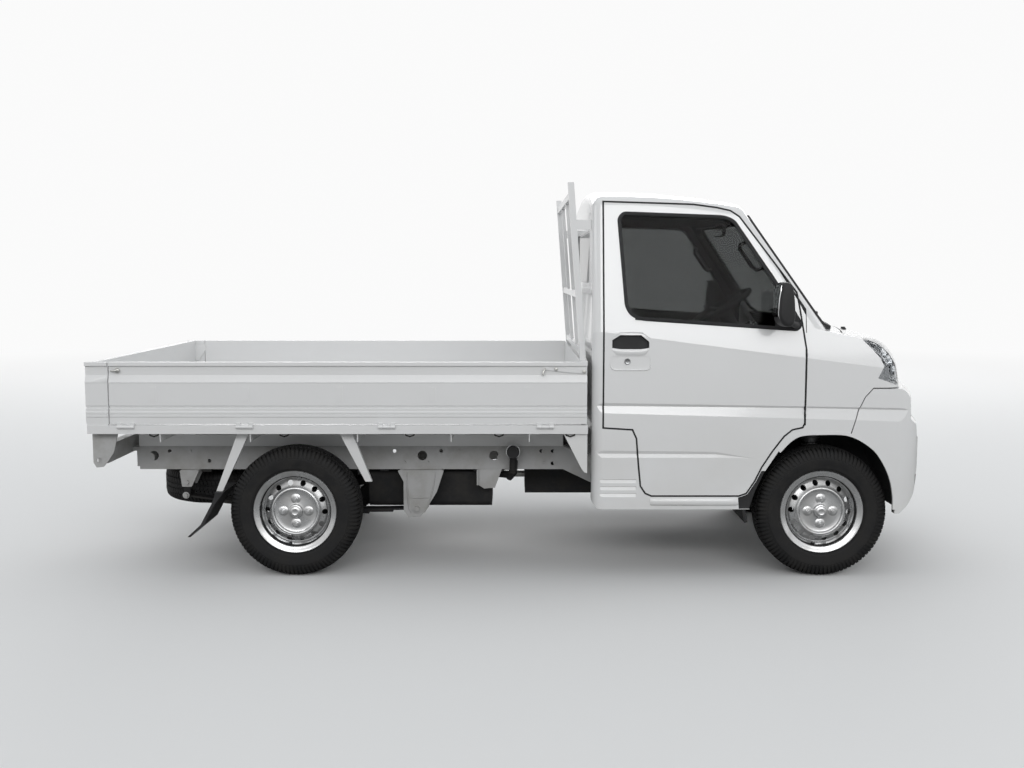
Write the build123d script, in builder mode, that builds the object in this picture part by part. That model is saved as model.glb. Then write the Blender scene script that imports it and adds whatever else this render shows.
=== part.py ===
"""A small cab-forward pickup truck: a two-seat cab over the front axle, a drop-sided
load bed on a ladder frame, leaf springs at the rear and struts at the front.

Millimetres. +X points forward, +Y to the vehicle's left, +Z up. The origin is on the
ground below the middle of the vehicle's overall length, on the centreline.
"""

from build123d import *
from math import atan, atan2, cos, degrees, pi, radians, sin, sqrt, tan
import os

os.makedirs("parts", exist_ok=True)

# ---------------------------------------------------------------- driving dimensions
WHEELBASE = 2390.0
FRONT_OVERHANG = 575.0
REAR_OVERHANG = 905.0
TRACK = 1300.0                  # between the tyres' mid planes, front and rear

TYRE_R = 296.0                  # standing radius of a 165 section tyre on a 13 inch rim
TYRE_W = 165.0
RIM_SEAT_R = 165.0
RIM_FLANGE_R = 186.0

X_FRONT_AXLE = (WHEELBASE + REAR_OVERHANG - FRONT_OVERHANG) / 2
X_REAR_AXLE = X_FRONT_AXLE - WHEELBASE
X_NOSE = X_FRONT_AXLE + FRONT_OVERHANG
X_TAIL = X_REAR_AXLE - REAR_OVERHANG
WHEEL_Y = TRACK / 2

TOUCH = 0.3                     # gap that stands for two faces in contact
RUN = 0.08                      # radial clearance of a shaft that turns in its bore
MOVE = 6.0                      # gap round a piece that opens

STEER_LOCK = 33.0               # degrees each way
KINGPIN_Y = 560.0               # kingpin axis at wheel-centre height
KINGPIN_LEAN = 12.0             # degrees, tops inwards

RAIL_OUT_Y = 400.0              # frame rails: outer face, width, height
RAIL_W = 60.0
RAIL_H = 112.0
RAIL_TOP_Z = 548.0
RAIL_DROP = 106.0               # how much lower the rails run under the cab
RAIL_T = 5.0

BED_SIDE_Y = 780.0
BED_FRONT_X = 292.0
BED_TOP_Z = 983.0
DECK_Z = 702.0                  # top of the load floor
GATE_T = 30.0
CORNER_POST_L = 99.0

CAB_REAR_X = 312.0
CAB_SIDE_Y = 765.0
SILL_Z = 320.0
ROOF_Z = 1770.0
WALL = 40.0                     # doors, roof and panels, from outer skin to trim
GLASS_T = 5.0
GLASS_INSET = 10.0              # glass behind the outer skin
SEAM = 5.0                      # shut line between two body panels

SIDES = (("left", 1), ("right", -1))        # name, sign of Y


# ---------------------------------------------------------------- small helpers
def save(piece, name):
    """Labels a finished piece and writes it under its node's name."""
    piece.label = name
    export_step(piece, f"parts/{name}.step")


def block(low, high, mode=Mode.ADD):
    """A box between two corners, in the active part."""
    with Locations([tuple((a + b) / 2 for a, b in zip(low, high))]):
        Box(*(b - a for a, b in zip(low, high)), mode=mode)


def rod(start, end, radius, mode=Mode.ADD):
    """A round bar between two points, in the active part."""
    way = Vector(*end) - Vector(*start)
    with BuildSketch(Plane(origin=start, z_dir=way)) as disc:
        Circle(radius)
    extrude(disc.sketch, amount=way.length, mode=mode)


def side_plate(points, y_low, y_high, mode=Mode.ADD, corner=0.0, grow=0.0):
    """A flat plate with an XZ outline between two Y values, in the active part."""
    with BuildSketch(Plane.XZ.offset(-y_high)) as outline:
        Polygon(*points, align=None)
        if grow:
            offset(amount=grow, kind=Kind.INTERSECTION, mode=Mode.REPLACE)
        if corner:
            fillet(outline.vertices(), corner)
    extrude(outline.sketch, amount=y_high - y_low, mode=mode)


def mirrored(piece):
    """A piece's twin on the other side of the centreline."""
    return mirror(piece, about=Plane.XZ)


# ---------------------------------------------------------------- wheels
RIM_T = 4.0
DISC_FACE = 40.0                # the disc's outer face at the nuts, outboard of mid tyre
HUB_R = 30.0
HUB_BORE_R = 16.0
NUT_PCD = 114.3
NUTS = 4
VENT_R = 13.5
VENT_RING_R = 132.0
VENTS = 14

# rim section: radius, distance outboard of the tyre's mid plane
RIM_OUTLINE = (
    (RIM_FLANGE_R, 63), (RIM_FLANGE_R - 6, 58), (RIM_SEAT_R + 2, 56), (RIM_SEAT_R, 30),
    (150, 18), (150, -20), (RIM_SEAT_R, -32), (RIM_SEAT_R + 2, -56),
    (RIM_FLANGE_R - 6, -58), (RIM_FLANGE_R, -63),
)
# disc section: radius, distance outboard; the disc is dished round a raised ring
DISC_OUTLINE = (
    (150 - RIM_T, 6), (146 - RIM_T, 24), (132, 27), (119, 34), (108, 49), (98, 51),
    (88, 42), (70, DISC_FACE), (HUB_R + TOUCH, DISC_FACE),
)


def build_rim():
    """Steel wheel on the Y axis, outboard side towards +Y."""
    with BuildPart() as rim:
        with BuildSketch():
            inner = [(r - RIM_T, w) for r, w in reversed(RIM_OUTLINE)]
            Polygon(*RIM_OUTLINE, *inner, align=None)
            back = [(r, w - RIM_T) for r, w in reversed(DISC_OUTLINE)]
            Polygon(*DISC_OUTLINE, *back, align=None)
        revolve(axis=Axis.Y)
        with BuildSketch(Plane.XZ):
            with PolarLocations(VENT_RING_R, VENTS):
                Circle(VENT_R)
        extrude(amount=-80, mode=Mode.SUBTRACT)
        with BuildSketch(Plane.XZ.offset(-DISC_FACE)):
            with PolarLocations(NUT_PCD / 2, NUTS, start_angle=45):
                RegularPolygon(11, 6)
        extrude(amount=-16)
    return rim.part


def build_tyre():
    """Tyre on the Y axis, a closed ring that seats on the rim."""
    half = TYRE_W / 2
    seat = RIM_SEAT_R + 2 + TOUCH
    with BuildPart() as tyre:
        with BuildSketch():
            with BuildLine():
                bead = Line((seat, 0), (seat, 54))
                heel = Line(bead @ 1, (RIM_FLANGE_R + 1, 54))
                wall = Line(heel @ 1, (RIM_FLANGE_R + 4, 66))
                side = ThreePointArc(wall @ 1, (238, half), (TYRE_R - 17, 73))
                edge = Line(side @ 1, (TYRE_R - 6, 62))
                crown = ThreePointArc(edge @ 1, (TYRE_R - 1.5, 30), (TYRE_R, 0))
                Line(crown @ 1, bead @ 0)
            make_face()
            mirror(about=Plane.XZ)
        revolve(axis=Axis.Y)
    return tyre.part


def build_hub():
    """Brake drum and hub, turning on the spindle; the cap shows through the disc."""
    back = -34.0
    face = DISC_FACE - RIM_T - TOUCH
    with BuildPart() as hub:
        with BuildSketch():
            Polygon((0, back), (104, back), (104, face - 8), (98, face), (HUB_R, face),
                    (HUB_R, DISC_FACE + 6), (24, DISC_FACE + 20), (0, DISC_FACE + 22),
                    align=None)
        revolve(axis=Axis.Y)
        with BuildSketch(Plane.XZ.offset(-(back - 1))):
            Circle(HUB_BORE_R)
        extrude(amount=-(face - back), mode=Mode.SUBTRACT)
    return hub.part


rim_piece = build_rim()
tyre_piece = build_tyre()
hub_piece = build_hub()

for axle, axle_x in (("front", X_FRONT_AXLE), ("rear", X_REAR_AXLE)):
    for side, sign in SIDES:
        place = Location((axle_x, WHEEL_Y, TYRE_R))
        for kind, model in (("tyre", tyre_piece), ("rim", rim_piece), ("hub", hub_piece)):
            piece = model.moved(place)
            if sign < 0:
                piece = mirrored(piece)
            save(piece, f"{kind}_{axle}_{side}")


# ---------------------------------------------------------------- rear axle and springs
AXLE_TUBE_R = 34.0
SPINDLE_R = HUB_BORE_R - RUN
SPINDLE_END = DISC_FACE - RIM_T - 8.0       # past mid tyre, inside the hub's blind bore
BACKPLATE_Y = WHEEL_Y - 40.0
DIFF_R = 112.0
PROP_R = 28.0
GEARBOX_REAR_X = 20.0
GEARBOX_Z = 395.0

with BuildPart() as rear_axle:
    tube_end = BACKPLATE_Y - 10
    rod((X_REAR_AXLE, -tube_end, TYRE_R), (X_REAR_AXLE, tube_end, TYRE_R), AXLE_TUBE_R)
    for side, sign in SIDES:
        y = sign * tube_end
        rod((X_REAR_AXLE, y, TYRE_R), (X_REAR_AXLE, y + sign * 6, TYRE_R), 100)
        spindle = sign * (WHEEL_Y + SPINDLE_END)
        rod((X_REAR_AXLE, y, TYRE_R), (X_REAR_AXLE, spindle, TYRE_R), SPINDLE_R)
    with Locations((X_REAR_AXLE, 0, TYRE_R)):
        Sphere(DIFF_R)
    nose_x = X_REAR_AXLE + 190
    rod((X_REAR_AXLE, 0, TYRE_R), (nose_x, 0, TYRE_R + 12), 52)
    rod((nose_x, 0, TYRE_R + 12), (GEARBOX_REAR_X - 14, 0, GEARBOX_Z), PROP_R)
    rod((GEARBOX_REAR_X - 30, 0, GEARBOX_Z), (GEARBOX_REAR_X - TOUCH, 0, GEARBOX_Z), PROP_R + 4)
save(rear_axle.part, "rear_axle")

SPRING_Y = 384.0
SPRING_W = 60.0
LEAF_T = 8.0
LEAVES = 4
SPRING_FRONT_X = X_REAR_AXLE + 528.0
SPRING_FRONT_Z = 250.0
SHACKLE_LOW = (X_REAR_AXLE - 579.0, 314.0)
SHACKLE_HIGH = (X_REAR_AXLE - 572.0, 378.0)
EYE_R = 20.0
SPRING_TOP_Z = TYRE_R - AXLE_TUBE_R - TOUCH - 8.0       # under the axle's seat pad


def leaf_arc(x, sag):
    """Height of the main leaf's top at x, a shallow bow between its eyes."""
    front, rear = SPRING_FRONT_X, SHACKLE_LOW[0]
    along = (x - rear) / (front - rear)
    chord = SHACKLE_LOW[1] + along * (SPRING_FRONT_Z - SHACKLE_LOW[1])
    return chord - 4 * sag * along * (1 - along)


def build_spring():
    """Left leaf spring with its rear shackle and the U-bolts round the axle."""
    y_low, y_high = SPRING_Y - SPRING_W / 2, SPRING_Y + SPRING_W / 2
    middle = X_REAR_AXLE
    with BuildPart() as spring:
        for leaf in range(LEAVES):
            share = 1 - 0.22 * leaf
            ends = [middle + (x - middle) * share for x in (SHACKLE_LOW[0], SPRING_FRONT_X)]
            drop = leaf * LEAF_T
            sag = leaf_arc(middle, 0) - SPRING_TOP_Z
            with BuildSketch(Plane.XZ.offset(-y_high)) as strip:
                with BuildLine():
                    tops = [(x, leaf_arc(x, sag) - drop) for x in (ends[0], middle, ends[1])]
                    lows = [(x, z - LEAF_T - 0.5) for x, z in tops]
                    upper = ThreePointArc(*tops)
                    Line(upper @ 1, lows[2])
                    lower = ThreePointArc(lows[2], lows[1], lows[0])
                    Line(lower @ 1, upper @ 0)
                make_face()
            extrude(strip.sketch, amount=SPRING_W)
        for x, z in ((SPRING_FRONT_X, SPRING_FRONT_Z), SHACKLE_LOW):
            rod((x, y_low, z), (x, y_high, z), EYE_R)
        for y in (y_low - 6, y_high):
            ends = ((SHACKLE_LOW[0] - 16, SHACKLE_LOW[1] - 16), (SHACKLE_LOW[0] + 16, SHACKLE_LOW[1] - 16),
                    (SHACKLE_HIGH[0] + 16, SHACKLE_HIGH[1] + 16), (SHACKLE_HIGH[0] - 16, SHACKLE_HIGH[1] + 16))
            side_plate(ends, y, y + 6)
        rod((SHACKLE_HIGH[0], y_low, SHACKLE_HIGH[1]), (SHACKLE_HIGH[0], y_high, SHACKLE_HIGH[1]), 10)
        pad_z = TYRE_R - AXLE_TUBE_R - TOUCH
        block((middle - 60, y_low, SPRING_TOP_Z - 4), (middle + 60, y_high, pad_z))
        low_z = SPRING_TOP_Z - LEAVES * LEAF_T - 12
        block((middle - 70, y_low - 14, low_z), (middle + 70, y_high + 14, low_z + 12))
        for x in (middle - 48, middle + 48):
            for y in (y_low - 7, y_high + 7):
                rod((x, y, low_z), (x, y, TYRE_R + AXLE_TUBE_R + 14), 6)
            y_span = (y_low - 13, y_high + 13)
            top_z = TYRE_R + AXLE_TUBE_R + TOUCH
            block((x - 6, y_span[0], top_z), (x + 6, y_span[1], top_z + 12))
    return spring.part


spring_left = build_spring()
save(Compound(children=[spring_left, mirrored(spring_left)]), "leaf_springs")


# ---------------------------------------------------------------- ladder frame
RAIL_REAR_X = -1835.0
RAIL_STEP = (200.0, 420.0)                  # where the rails drop under the cab
RAIL_FRONT_X = X_NOSE - 175.0
RAIL_LOW_TOP_Z = RAIL_TOP_Z - RAIL_DROP
# cross tubes: x of each, radius
CROSS_TUBES = ((-1790, 26), (-1330, 26), (-800, 24), (-90, 26), (1025, 26), (1700, 30))
# holes in the webs: x, z above the rail's bottom, radius
WEB_HOLES = ((-1766, 66, 23), (-476, 66, 23), (-131, 66, 23), (-1500, 40, 9), (-1690, 88, 9),
             (-610, 88, 9), (-385, 88, 9), (95, 88, 9), (150, 88, 9), (150, 28, 9))
RAIL_IN_Y = RAIL_OUT_Y - RAIL_W

HANGER_T = 6.0
REAR_HANGER = ((-87.0, 0.0), (-22.0, 0.0), (6.0, -70.0), (-16.0, -88.0), (-46.0, -70.0))


def rail_outline(trim):
    """XZ outline of a rail, moved inwards by trim."""
    rise = trim * 0.22
    top, low_top = RAIL_TOP_Z - trim, RAIL_LOW_TOP_Z - trim
    bottom, low = RAIL_TOP_Z - RAIL_H + trim, RAIL_LOW_TOP_Z - RAIL_H + trim
    step_rear, step_front = RAIL_STEP
    return ((RAIL_REAR_X, top), (step_rear - rise, top), (step_front - rise, low_top),
            (RAIL_FRONT_X, low_top), (RAIL_FRONT_X, low), (step_front + rise, low),
            (step_rear + rise, bottom), (RAIL_REAR_X, bottom))


def build_rail():
    """Left rail, a channel open towards the centreline, with its spring hangers."""
    bottom = RAIL_TOP_Z - RAIL_H
    with BuildPart() as rail:
        side_plate(rail_outline(0), RAIL_IN_Y, RAIL_OUT_Y)
        side_plate(rail_outline(RAIL_T), RAIL_IN_Y - 1, RAIL_OUT_Y - RAIL_T, mode=Mode.SUBTRACT)
        for x, height, radius in WEB_HOLES:
            z = bottom + height
            rod((x, RAIL_OUT_Y - 20, z), (x, RAIL_OUT_Y + 20, z), radius, mode=Mode.SUBTRACT)
        # spring hangers: a plate each side of the spring, under the rail
        plates = (SPRING_Y - SPRING_W / 2 - 8 - HANGER_T, SPRING_Y + SPRING_W / 2 + 8)
        front = ((SPRING_FRONT_X - 92, bottom), (SPRING_FRONT_X + 131, bottom),
                 (SPRING_FRONT_X + 96, 330), (SPRING_FRONT_X + 38, 235),
                 (SPRING_FRONT_X + 20, 212), (SPRING_FRONT_X - 40, 206),
                 (SPRING_FRONT_X - 63, 240), (SPRING_FRONT_X - 63, 380))
        x_high, z_high = SHACKLE_HIGH
        rear = ((x_high - 34, bottom), (x_high + 60, bottom), (x_high + 22, z_high - 22),
                (x_high - 24, z_high - 22))
        plates_rear = (plates[0] - 3, plates[1] + 3)
        for y in plates:
            side_plate(front, y, y + HANGER_T, corner=6)
        for y in plates_rear:
            side_plate(rear, y, y + HANGER_T, corner=6)
        for x_low, x_top in ((SPRING_FRONT_X - 80, SPRING_FRONT_X + 120), (x_high - 30, x_high + 55)):
            block((x_low, plates[0] - 3, bottom - 8), (x_top, plates[1] + HANGER_T + 3, bottom))
        rod((SPRING_FRONT_X, plates[0], SPRING_FRONT_Z),
            (SPRING_FRONT_X, SPRING_Y - SPRING_W / 2 - TOUCH, SPRING_FRONT_Z), 12)
        rod((SPRING_FRONT_X, SPRING_Y + SPRING_W / 2 + TOUCH, SPRING_FRONT_Z),
            (SPRING_FRONT_X, plates[1] + HANGER_T + 6, SPRING_FRONT_Z), 12)
        rod((x_high, plates_rear[0], z_high), (x_high, plates[0] + 7.7 - TOUCH - 6, z_high), 10)
        rod((x_high, SPRING_Y + SPRING_W / 2 + 6 + TOUCH, z_high),
            (x_high, plates_rear[1] + HANGER_T + 6, z_high), 10)
    return rail.part


rail_left = build_rail()
with BuildPart() as chassis_frame:
    add(rail_left)
    add(mirrored(rail_left))
    for x, radius in CROSS_TUBES:
        z = (RAIL_TOP_Z if x < RAIL_STEP[0] else RAIL_LOW_TOP_Z) - RAIL_H / 2
        rod((x, -RAIL_OUT_Y + 1, z), (x, RAIL_OUT_Y - 1, z), radius)
    for sign in (1, -1):
        y = sorted((sign * (RAIL_OUT_Y - 40), sign * RAIL_OUT_Y))
        block((RAIL_REAR_X, y[0], RAIL_TOP_Z - RAIL_H + 12), (RAIL_REAR_X + 8, y[1], RAIL_TOP_Z - 12))
save(chassis_frame.part, "chassis_frame")


# ---------------------------------------------------------------- front suspension
BEAM_X = (X_FRONT_AXLE - 70.0, X_FRONT_AXLE + 60.0)
BEAM_Z = (250.0, RAIL_LOW_TOP_Z - RAIL_H - TOUCH)
ARM_PIVOT = (X_FRONT_AXLE, 330.0, 228.0)
BALL_Z = 190.0
BALL_R = 16.0
KINGPIN_RISE = tan(radians(KINGPIN_LEAN))
STRUT_TOP_Z = 655.0
SPRING_SEAT_Z = TYRE_R + 205.0
STEER_ARM_L = 120.0                         # kingpin to tie-rod eye, rearwards
STEER_ARM_Z = 250.0


def kingpin(z):
    """A point on the left kingpin axis at height z."""
    return (X_FRONT_AXLE, KINGPIN_Y - (z - TYRE_R) * KINGPIN_RISE, z)


with BuildPart() as front_suspension:
    block((BEAM_X[0], -RAIL_OUT_Y + 5, BEAM_Z[0]), (BEAM_X[1], RAIL_OUT_Y - 5, BEAM_Z[1]))
    for side, sign in SIDES:
        x, y, z = ARM_PIVOT
        ball = kingpin(BALL_Z)
        socket = (x, sign * ball[1], BALL_Z)
        for dx in (-55, 55):
            rod((x + dx - 18, sign * y, z), (x + dx + 18, sign * y, z), 20)
            rod((x + dx, sign * y, z), (x + dx, sign * y, BEAM_Z[0] + 5), 12)
            rod((x + dx, sign * y, z), socket, 10)
        rod((x, sign * ball[1], BALL_Z - 12), (x, sign * ball[1], BALL_Z + 10), BALL_R + 6)
        low = (x, sign * kingpin(BALL_Z - 30)[1], BALL_Z - 30)
        high = (x, sign * kingpin(BALL_Z + 30)[1], BALL_Z + 30)
        rod(low, high, BALL_R * 0.6 + RUN, mode=Mode.SUBTRACT)
save(front_suspension.part, "front_suspension")


def build_knuckle():
    """Left knuckle: spindle, strut, steering arm and the stud that turns in the arm."""
    inner_y = BACKPLATE_Y - 14
    with BuildPart() as knuckle:
        rod((X_FRONT_AXLE, inner_y, TYRE_R), (X_FRONT_AXLE, inner_y + 8, TYRE_R), 84)
        rod((X_FRONT_AXLE, KINGPIN_Y - 14, TYRE_R), (X_FRONT_AXLE, inner_y + 2, TYRE_R), 44)
        rod((X_FRONT_AXLE, inner_y, TYRE_R), (X_FRONT_AXLE, WHEEL_Y + SPINDLE_END, TYRE_R), SPINDLE_R)
        rod(kingpin(BALL_Z + 22), kingpin(TYRE_R), 17)
        rod(kingpin(BALL_Z - 10), kingpin(BALL_Z + 24), BALL_R * 0.6)
        rod(kingpin(TYRE_R - 20), kingpin(SPRING_SEAT_Z + 2), 25)
        rod(kingpin(SPRING_SEAT_Z), kingpin(SPRING_SEAT_Z + 6), 48)
        rod(kingpin(SPRING_SEAT_Z), kingpin(STRUT_TOP_Z - 22), 36)
        for coil in range(4):
            z = SPRING_SEAT_Z + 14 + coil * 30
            with Locations(Location(kingpin(z), (KINGPIN_LEAN, 0, 0))):
                Torus(38, 6)
        eye = (X_FRONT_AXLE - STEER_ARM_L, KINGPIN_Y - 12, STEER_ARM_Z)
        rod(eye, (X_FRONT_AXLE - 20, KINGPIN_Y, STEER_ARM_Z + 14), 12)
        rod((eye[0], eye[1], eye[2] - 10), (eye[0], eye[1], eye[2] + 12), 17)
    return knuckle.part


knuckle_left = build_knuckle()
save(knuckle_left, "knuckle_left")
save(mirrored(knuckle_left), "knuckle_right")

RACK_X = X_FRONT_AXLE - STEER_ARM_L
RACK_Z = STEER_ARM_Z - 43.0                  # the steering arms dip 14 mm as they turn
RACK_HALF = 230.0
RACK_BAR_R = 11.0
EYE_Y = KINGPIN_Y - 12.0

with BuildPart() as tie_rods:
    rod((RACK_X, -EYE_Y, RACK_Z + 2), (RACK_X, EYE_Y, RACK_Z + 2), RACK_BAR_R)
    for side, sign in SIDES:
        y = sign * EYE_Y
        rod((RACK_X, y, RACK_Z - 12), (RACK_X, y, RACK_Z + 14), 15)
save(tie_rods.part, "tie_rods")

FLOOR_Z = (448.0, 460.0)                    # cab floor panel
WHEEL_HUB = (1085.0, 330.0, 1190.0)         # centre of the steering wheel
COLUMN_WAY = (0.53, 0.0, -0.848)            # down the column, forwards
STEER_WHEEL_R = 188.0


def down_column(length):
    """A point on the steering column, a length below the wheel's centre."""
    return tuple(a + length * b for a, b in zip(WHEEL_HUB, COLUMN_WAY))


COLUMN_END = (WHEEL_HUB[2] - FLOOR_Z[1]) / -COLUMN_WAY[2]

with BuildPart() as steering_rack:
    rod((RACK_X, -RACK_HALF, RACK_Z + 2), (RACK_X, RACK_HALF, RACK_Z + 2), 24)
    for y in (-170, 90):
        block((RACK_X + 10, y - 25, RACK_Z - 10), (BEAM_X[0] + 30, y + 25, BEAM_Z[0] - TOUCH))
    rod((RACK_X + 6, 190, RACK_Z), (RACK_X + 22, 200, RACK_Z + 136), 18)
    rod((RACK_X + 20, 200, RACK_Z + 138), (1500, 290, FLOOR_Z[0] - 14), 9)
    rod((1500, 290, FLOOR_Z[0] - 16), (1500, 290, FLOOR_Z[0] - TOUCH), 9)
    rod((RACK_X, -EYE_Y, RACK_Z + 2), (RACK_X, EYE_Y, RACK_Z + 2), RACK_BAR_R + RUN,
        mode=Mode.SUBTRACT)
save(steering_rack.part, "steering_rack")

with BuildPart() as steering_column:
    rod(down_column(40), down_column(470), 24)
    rod(down_column(40), down_column(150), 38)
    x, y, z = down_column(COLUMN_END + 30)
    rod(down_column(470), (x, y, z), 12)
    block((x - 200, y - 100, 0), (x + 200, y + 100, FLOOR_Z[1] + TOUCH), mode=Mode.SUBTRACT)
    rod(down_column(30), down_column(120), 9 + RUN, mode=Mode.SUBTRACT)
save(steering_column.part, "steering_column")

with BuildPart() as steering_wheel:
    plane = Plane(origin=WHEEL_HUB, z_dir=tuple(-a for a in COLUMN_WAY), x_dir=(0, 1, 0))
    with Locations(plane):
        Torus(STEER_WHEEL_R - 14, 14)
    rod(down_column(38), down_column(6), 42)
    rod(down_column(110), down_column(30), 9)
    for angle in (8, 172, 240, 300):
        local = plane.from_local_coords(Vector(cos(radians(angle)), sin(radians(angle)), 0) * 166)
        rod(down_column(18), tuple(local), 11)
save(steering_wheel.part, "steering_wheel")

# ---------------------------------------------------------------- engine, tank, exhaust
with BuildPart() as engine:
    block((440, -300, 300), (960, 300, 610))
    block((GEARBOX_REAR_X, -150, 270), (441, 150, 470))
    for y in (-300, 260):
        block((640, y - 36, 380), (740, y + 76, 430))
    block((120, -RAIL_IN_Y - RAIL_W + 6, 430), (180, RAIL_IN_Y + RAIL_W - 6, 435.7))
save(engine.part, "engine")

with BuildPart() as fuel_tank:
    block((-743, -330, 240), (-143, -45, 425))
    fillet(fuel_tank.edges().filter_by(Axis.X), 25)
    for x in (-680, -230):
        block((x, -RAIL_OUT_Y + 10, 425), (x + 40, -45, 435.7))
    rod((-160, -300, 400), (-60, -360, 400), 16)
    rod((-60, -360, 400), (-40, -455, 440), 16)
    rod((-40, -455, 440), (-40, -470, 520), 17)
    rod((-40, -470, 520), (-40, -472, 552), 26)
    block((-60, -470, 500), (-20, -RAIL_OUT_Y - TOUCH, 510))
save(fuel_tank.part, "fuel_tank")

EXHAUST_R = 18.0
with BuildPart() as exhaust:
    with BuildLine() as route:
        FilletPolyline((430, 200, 330), (100, 215, 300), (-760, 215, 300), (-880, 470, 385),
                       (-1500, 470, 392), (-1880, 470, 372), radius=90)
    with BuildSketch(Plane(origin=route.line @ 0, z_dir=route.line % 0)):
        Circle(EXHAUST_R)
    sweep(path=route.line)
    rod((-180, 215, 300), (-640, 215, 300), 72)
    for x, y in ((-1330, 440), (-1790, 440)):
        block((x - 12, RAIL_OUT_Y - 30, 427), (x + 12, y + 34, 435.7))
        block((x - 12, y + 26, 392), (x + 12, y + 34, 435.7))
    block((-300, 200, 360), (-276, RAIL_OUT_Y - 20, 372))
    block((-300, RAIL_IN_Y + 5, 360), (-276, RAIL_OUT_Y - 20, 435.7))
save(exhaust.part, "exhaust")

# ---------------------------------------------------------------- spare wheel
SPARE_X = X_REAR_AXLE - 500.0
SPARE_Z = 288.0

with BuildPart() as spare_wheel:
    upright = Location((SPARE_X, 0, SPARE_Z), (-90, 0, 0))
    add(rim_piece.moved(upright))
    add(tyre_piece.moved(upright))
    rod((SPARE_X, 0, SPARE_Z - DISC_FACE - 16), (SPARE_X, 0, RAIL_TOP_Z - RAIL_H - 8), 11)
    rod((SPARE_X, 0, SPARE_Z - DISC_FACE - 9), (SPARE_X, 0, SPARE_Z - DISC_FACE + 1), 50)
    bar_z = RAIL_TOP_Z - RAIL_H
    block((SPARE_X - 12, -RAIL_OUT_Y + 6, bar_z - 14), (SPARE_X + 36, RAIL_OUT_Y - 6, bar_z - TOUCH))
save(spare_wheel.part, "spare_wheel")


# ---------------------------------------------------------------- tail: beam, lamps, flaps
BEAM_REAR_X = X_TAIL + 22.0
BED_RAIL_Z = 663.5                          # bottom of the bed's side rail
DECK_T = 12.0
UNDER_DECK_Z = DECK_Z - DECK_T - TOUCH
SIDE_PLATE_Y = 716.0
# outline of the plates under the bed's rear corners: back from the tail, height
TAIL_PLATE = ((3, BED_RAIL_Z - TOUCH), (3, 526), (16, 502), (48, 505), (75, 538), (97, 572),
              (126, UNDER_DECK_Z), (32, UNDER_DECK_Z), (32, BED_RAIL_Z - TOUCH))
LAMP_Y = (470.0, 640.0)

with BuildPart() as rear_bumper:
    block((BEAM_REAR_X, -SIDE_PLATE_Y, 520), (BEAM_REAR_X + 44, SIDE_PLATE_Y, 600))
    for side, sign in SIDES:
        y_low, y_high = sorted((sign * SIDE_PLATE_Y, sign * (SIDE_PLATE_Y + 6)))
        side_plate([(X_TAIL + x, z) for x, z in TAIL_PLATE], y_low, y_high, corner=4)
        rod((X_TAIL + 30, y_low - 2, 534), (X_TAIL + 30, y_high + 2, 534), 12, mode=Mode.SUBTRACT)
        y_low, y_high = sorted((sign * RAIL_IN_Y, sign * RAIL_OUT_Y))
        block((BEAM_REAR_X + 40, y_low, 525), (RAIL_REAR_X - TOUCH, y_high, 545))
        block((RAIL_REAR_X - 12, y_low, 450), (RAIL_REAR_X - TOUCH, y_high, 545))
save(rear_bumper.part, "rear_bumper")

with BuildPart() as lamp_pair:
    for side, sign in SIDES:
        y_low, y_high = sorted((sign * LAMP_Y[0], sign * LAMP_Y[1]))
        block((BEAM_REAR_X - 18, y_low, 528), (BEAM_REAR_X - TOUCH, y_high, 592))
    fillet(lamp_pair.edges().filter_by(Axis.X), 8)
save(lamp_pair.part, "tail_lamps")

# braces that carry the mud flaps fore and aft of each rear wheel: outline in XZ
BRACE_Y = (690.0, 714.0)
BRACE_REAR = ((-1269, UNDER_DECK_Z), (-1215, UNDER_DECK_Z), (-1355, 392), (-1384, 392))
BRACE_FRONT = ((-840, UNDER_DECK_Z), (-777, UNDER_DECK_Z), (-678, 436), (-708, 436))
FLAP_REAR = ((-1344, 398), (-1380, 398), (-1400, 340), (-1453, 242), (-1514, 186), (-1500, 186),
             (-1440, 236), (-1388, 335))
FLAP_REAR_Y = (500.0, 740.0)

with BuildPart() as mudguard_braces:
    for side, sign in SIDES:
        y_low, y_high = sorted((sign * BRACE_Y[0], sign * BRACE_Y[1]))
        for outline in (BRACE_REAR, BRACE_FRONT):
            side_plate(outline, y_low, y_high)
            middle = [tuple(p) for p in outline]
            x_mid = sum(p[0] for p in middle) / 4
            inner = [(x_mid + (x - x_mid) * 0.82, z) for x, z in middle]
            y_cut = sorted((sign * (BRACE_Y[0] - 1), sign * (BRACE_Y[1] - 5)))
            side_plate([(x, z - 6 if z > 600 else z + 6) for x, z in inner], *y_cut,
                       mode=Mode.SUBTRACT)
save(mudguard_braces.part, "mudguard_braces")

# ---------------------------------------------------------------- load bed
# a gate's outer skin: depth behind the outer plane, height
GATE_SKIN = ((3, 708), (3, 737), (0, 740), (0, 748), (3, 751), (0, 754), (0, 761), (3, 764),
             (3, 775), (9, 779), (9, 786), (3, 790), (3, 890), (1, 893), (12, 926), (12, 965),
             (0, 967), (0, BED_TOP_Z))
BANDS = ((708, 739), (739, 775))
STAKE_MARKS = (-1635, -1226, -808, -396, 21)
STAKE_MARK = (27.0, 62.0, 842.0)            # length, height, centre height
HINGES = (-1757, -1231, -600, 103)
HINGE_L = 75.0
BARREL_R = 8.0
LEAF_L = 19.5                               # each gate leaf of a hinge
PIN_HALF = 17.5                             # half the bed's barrel between the leaves
HINGE_Z = DECK_Z - 6.0
GATE_X = (X_TAIL + CORNER_POST_L + MOVE, BED_FRONT_X - 4.0)
TAIL_HALF = BED_SIDE_Y - GATE_T - MOVE
TAIL_FACE_X = X_TAIL + 18.0                 # the tailgate's outer plane
CROSS_SILLS = (-1589, -1188, -711, -294, 54)
HEADBOARD_X = BED_FRONT_X - GATE_T
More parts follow.
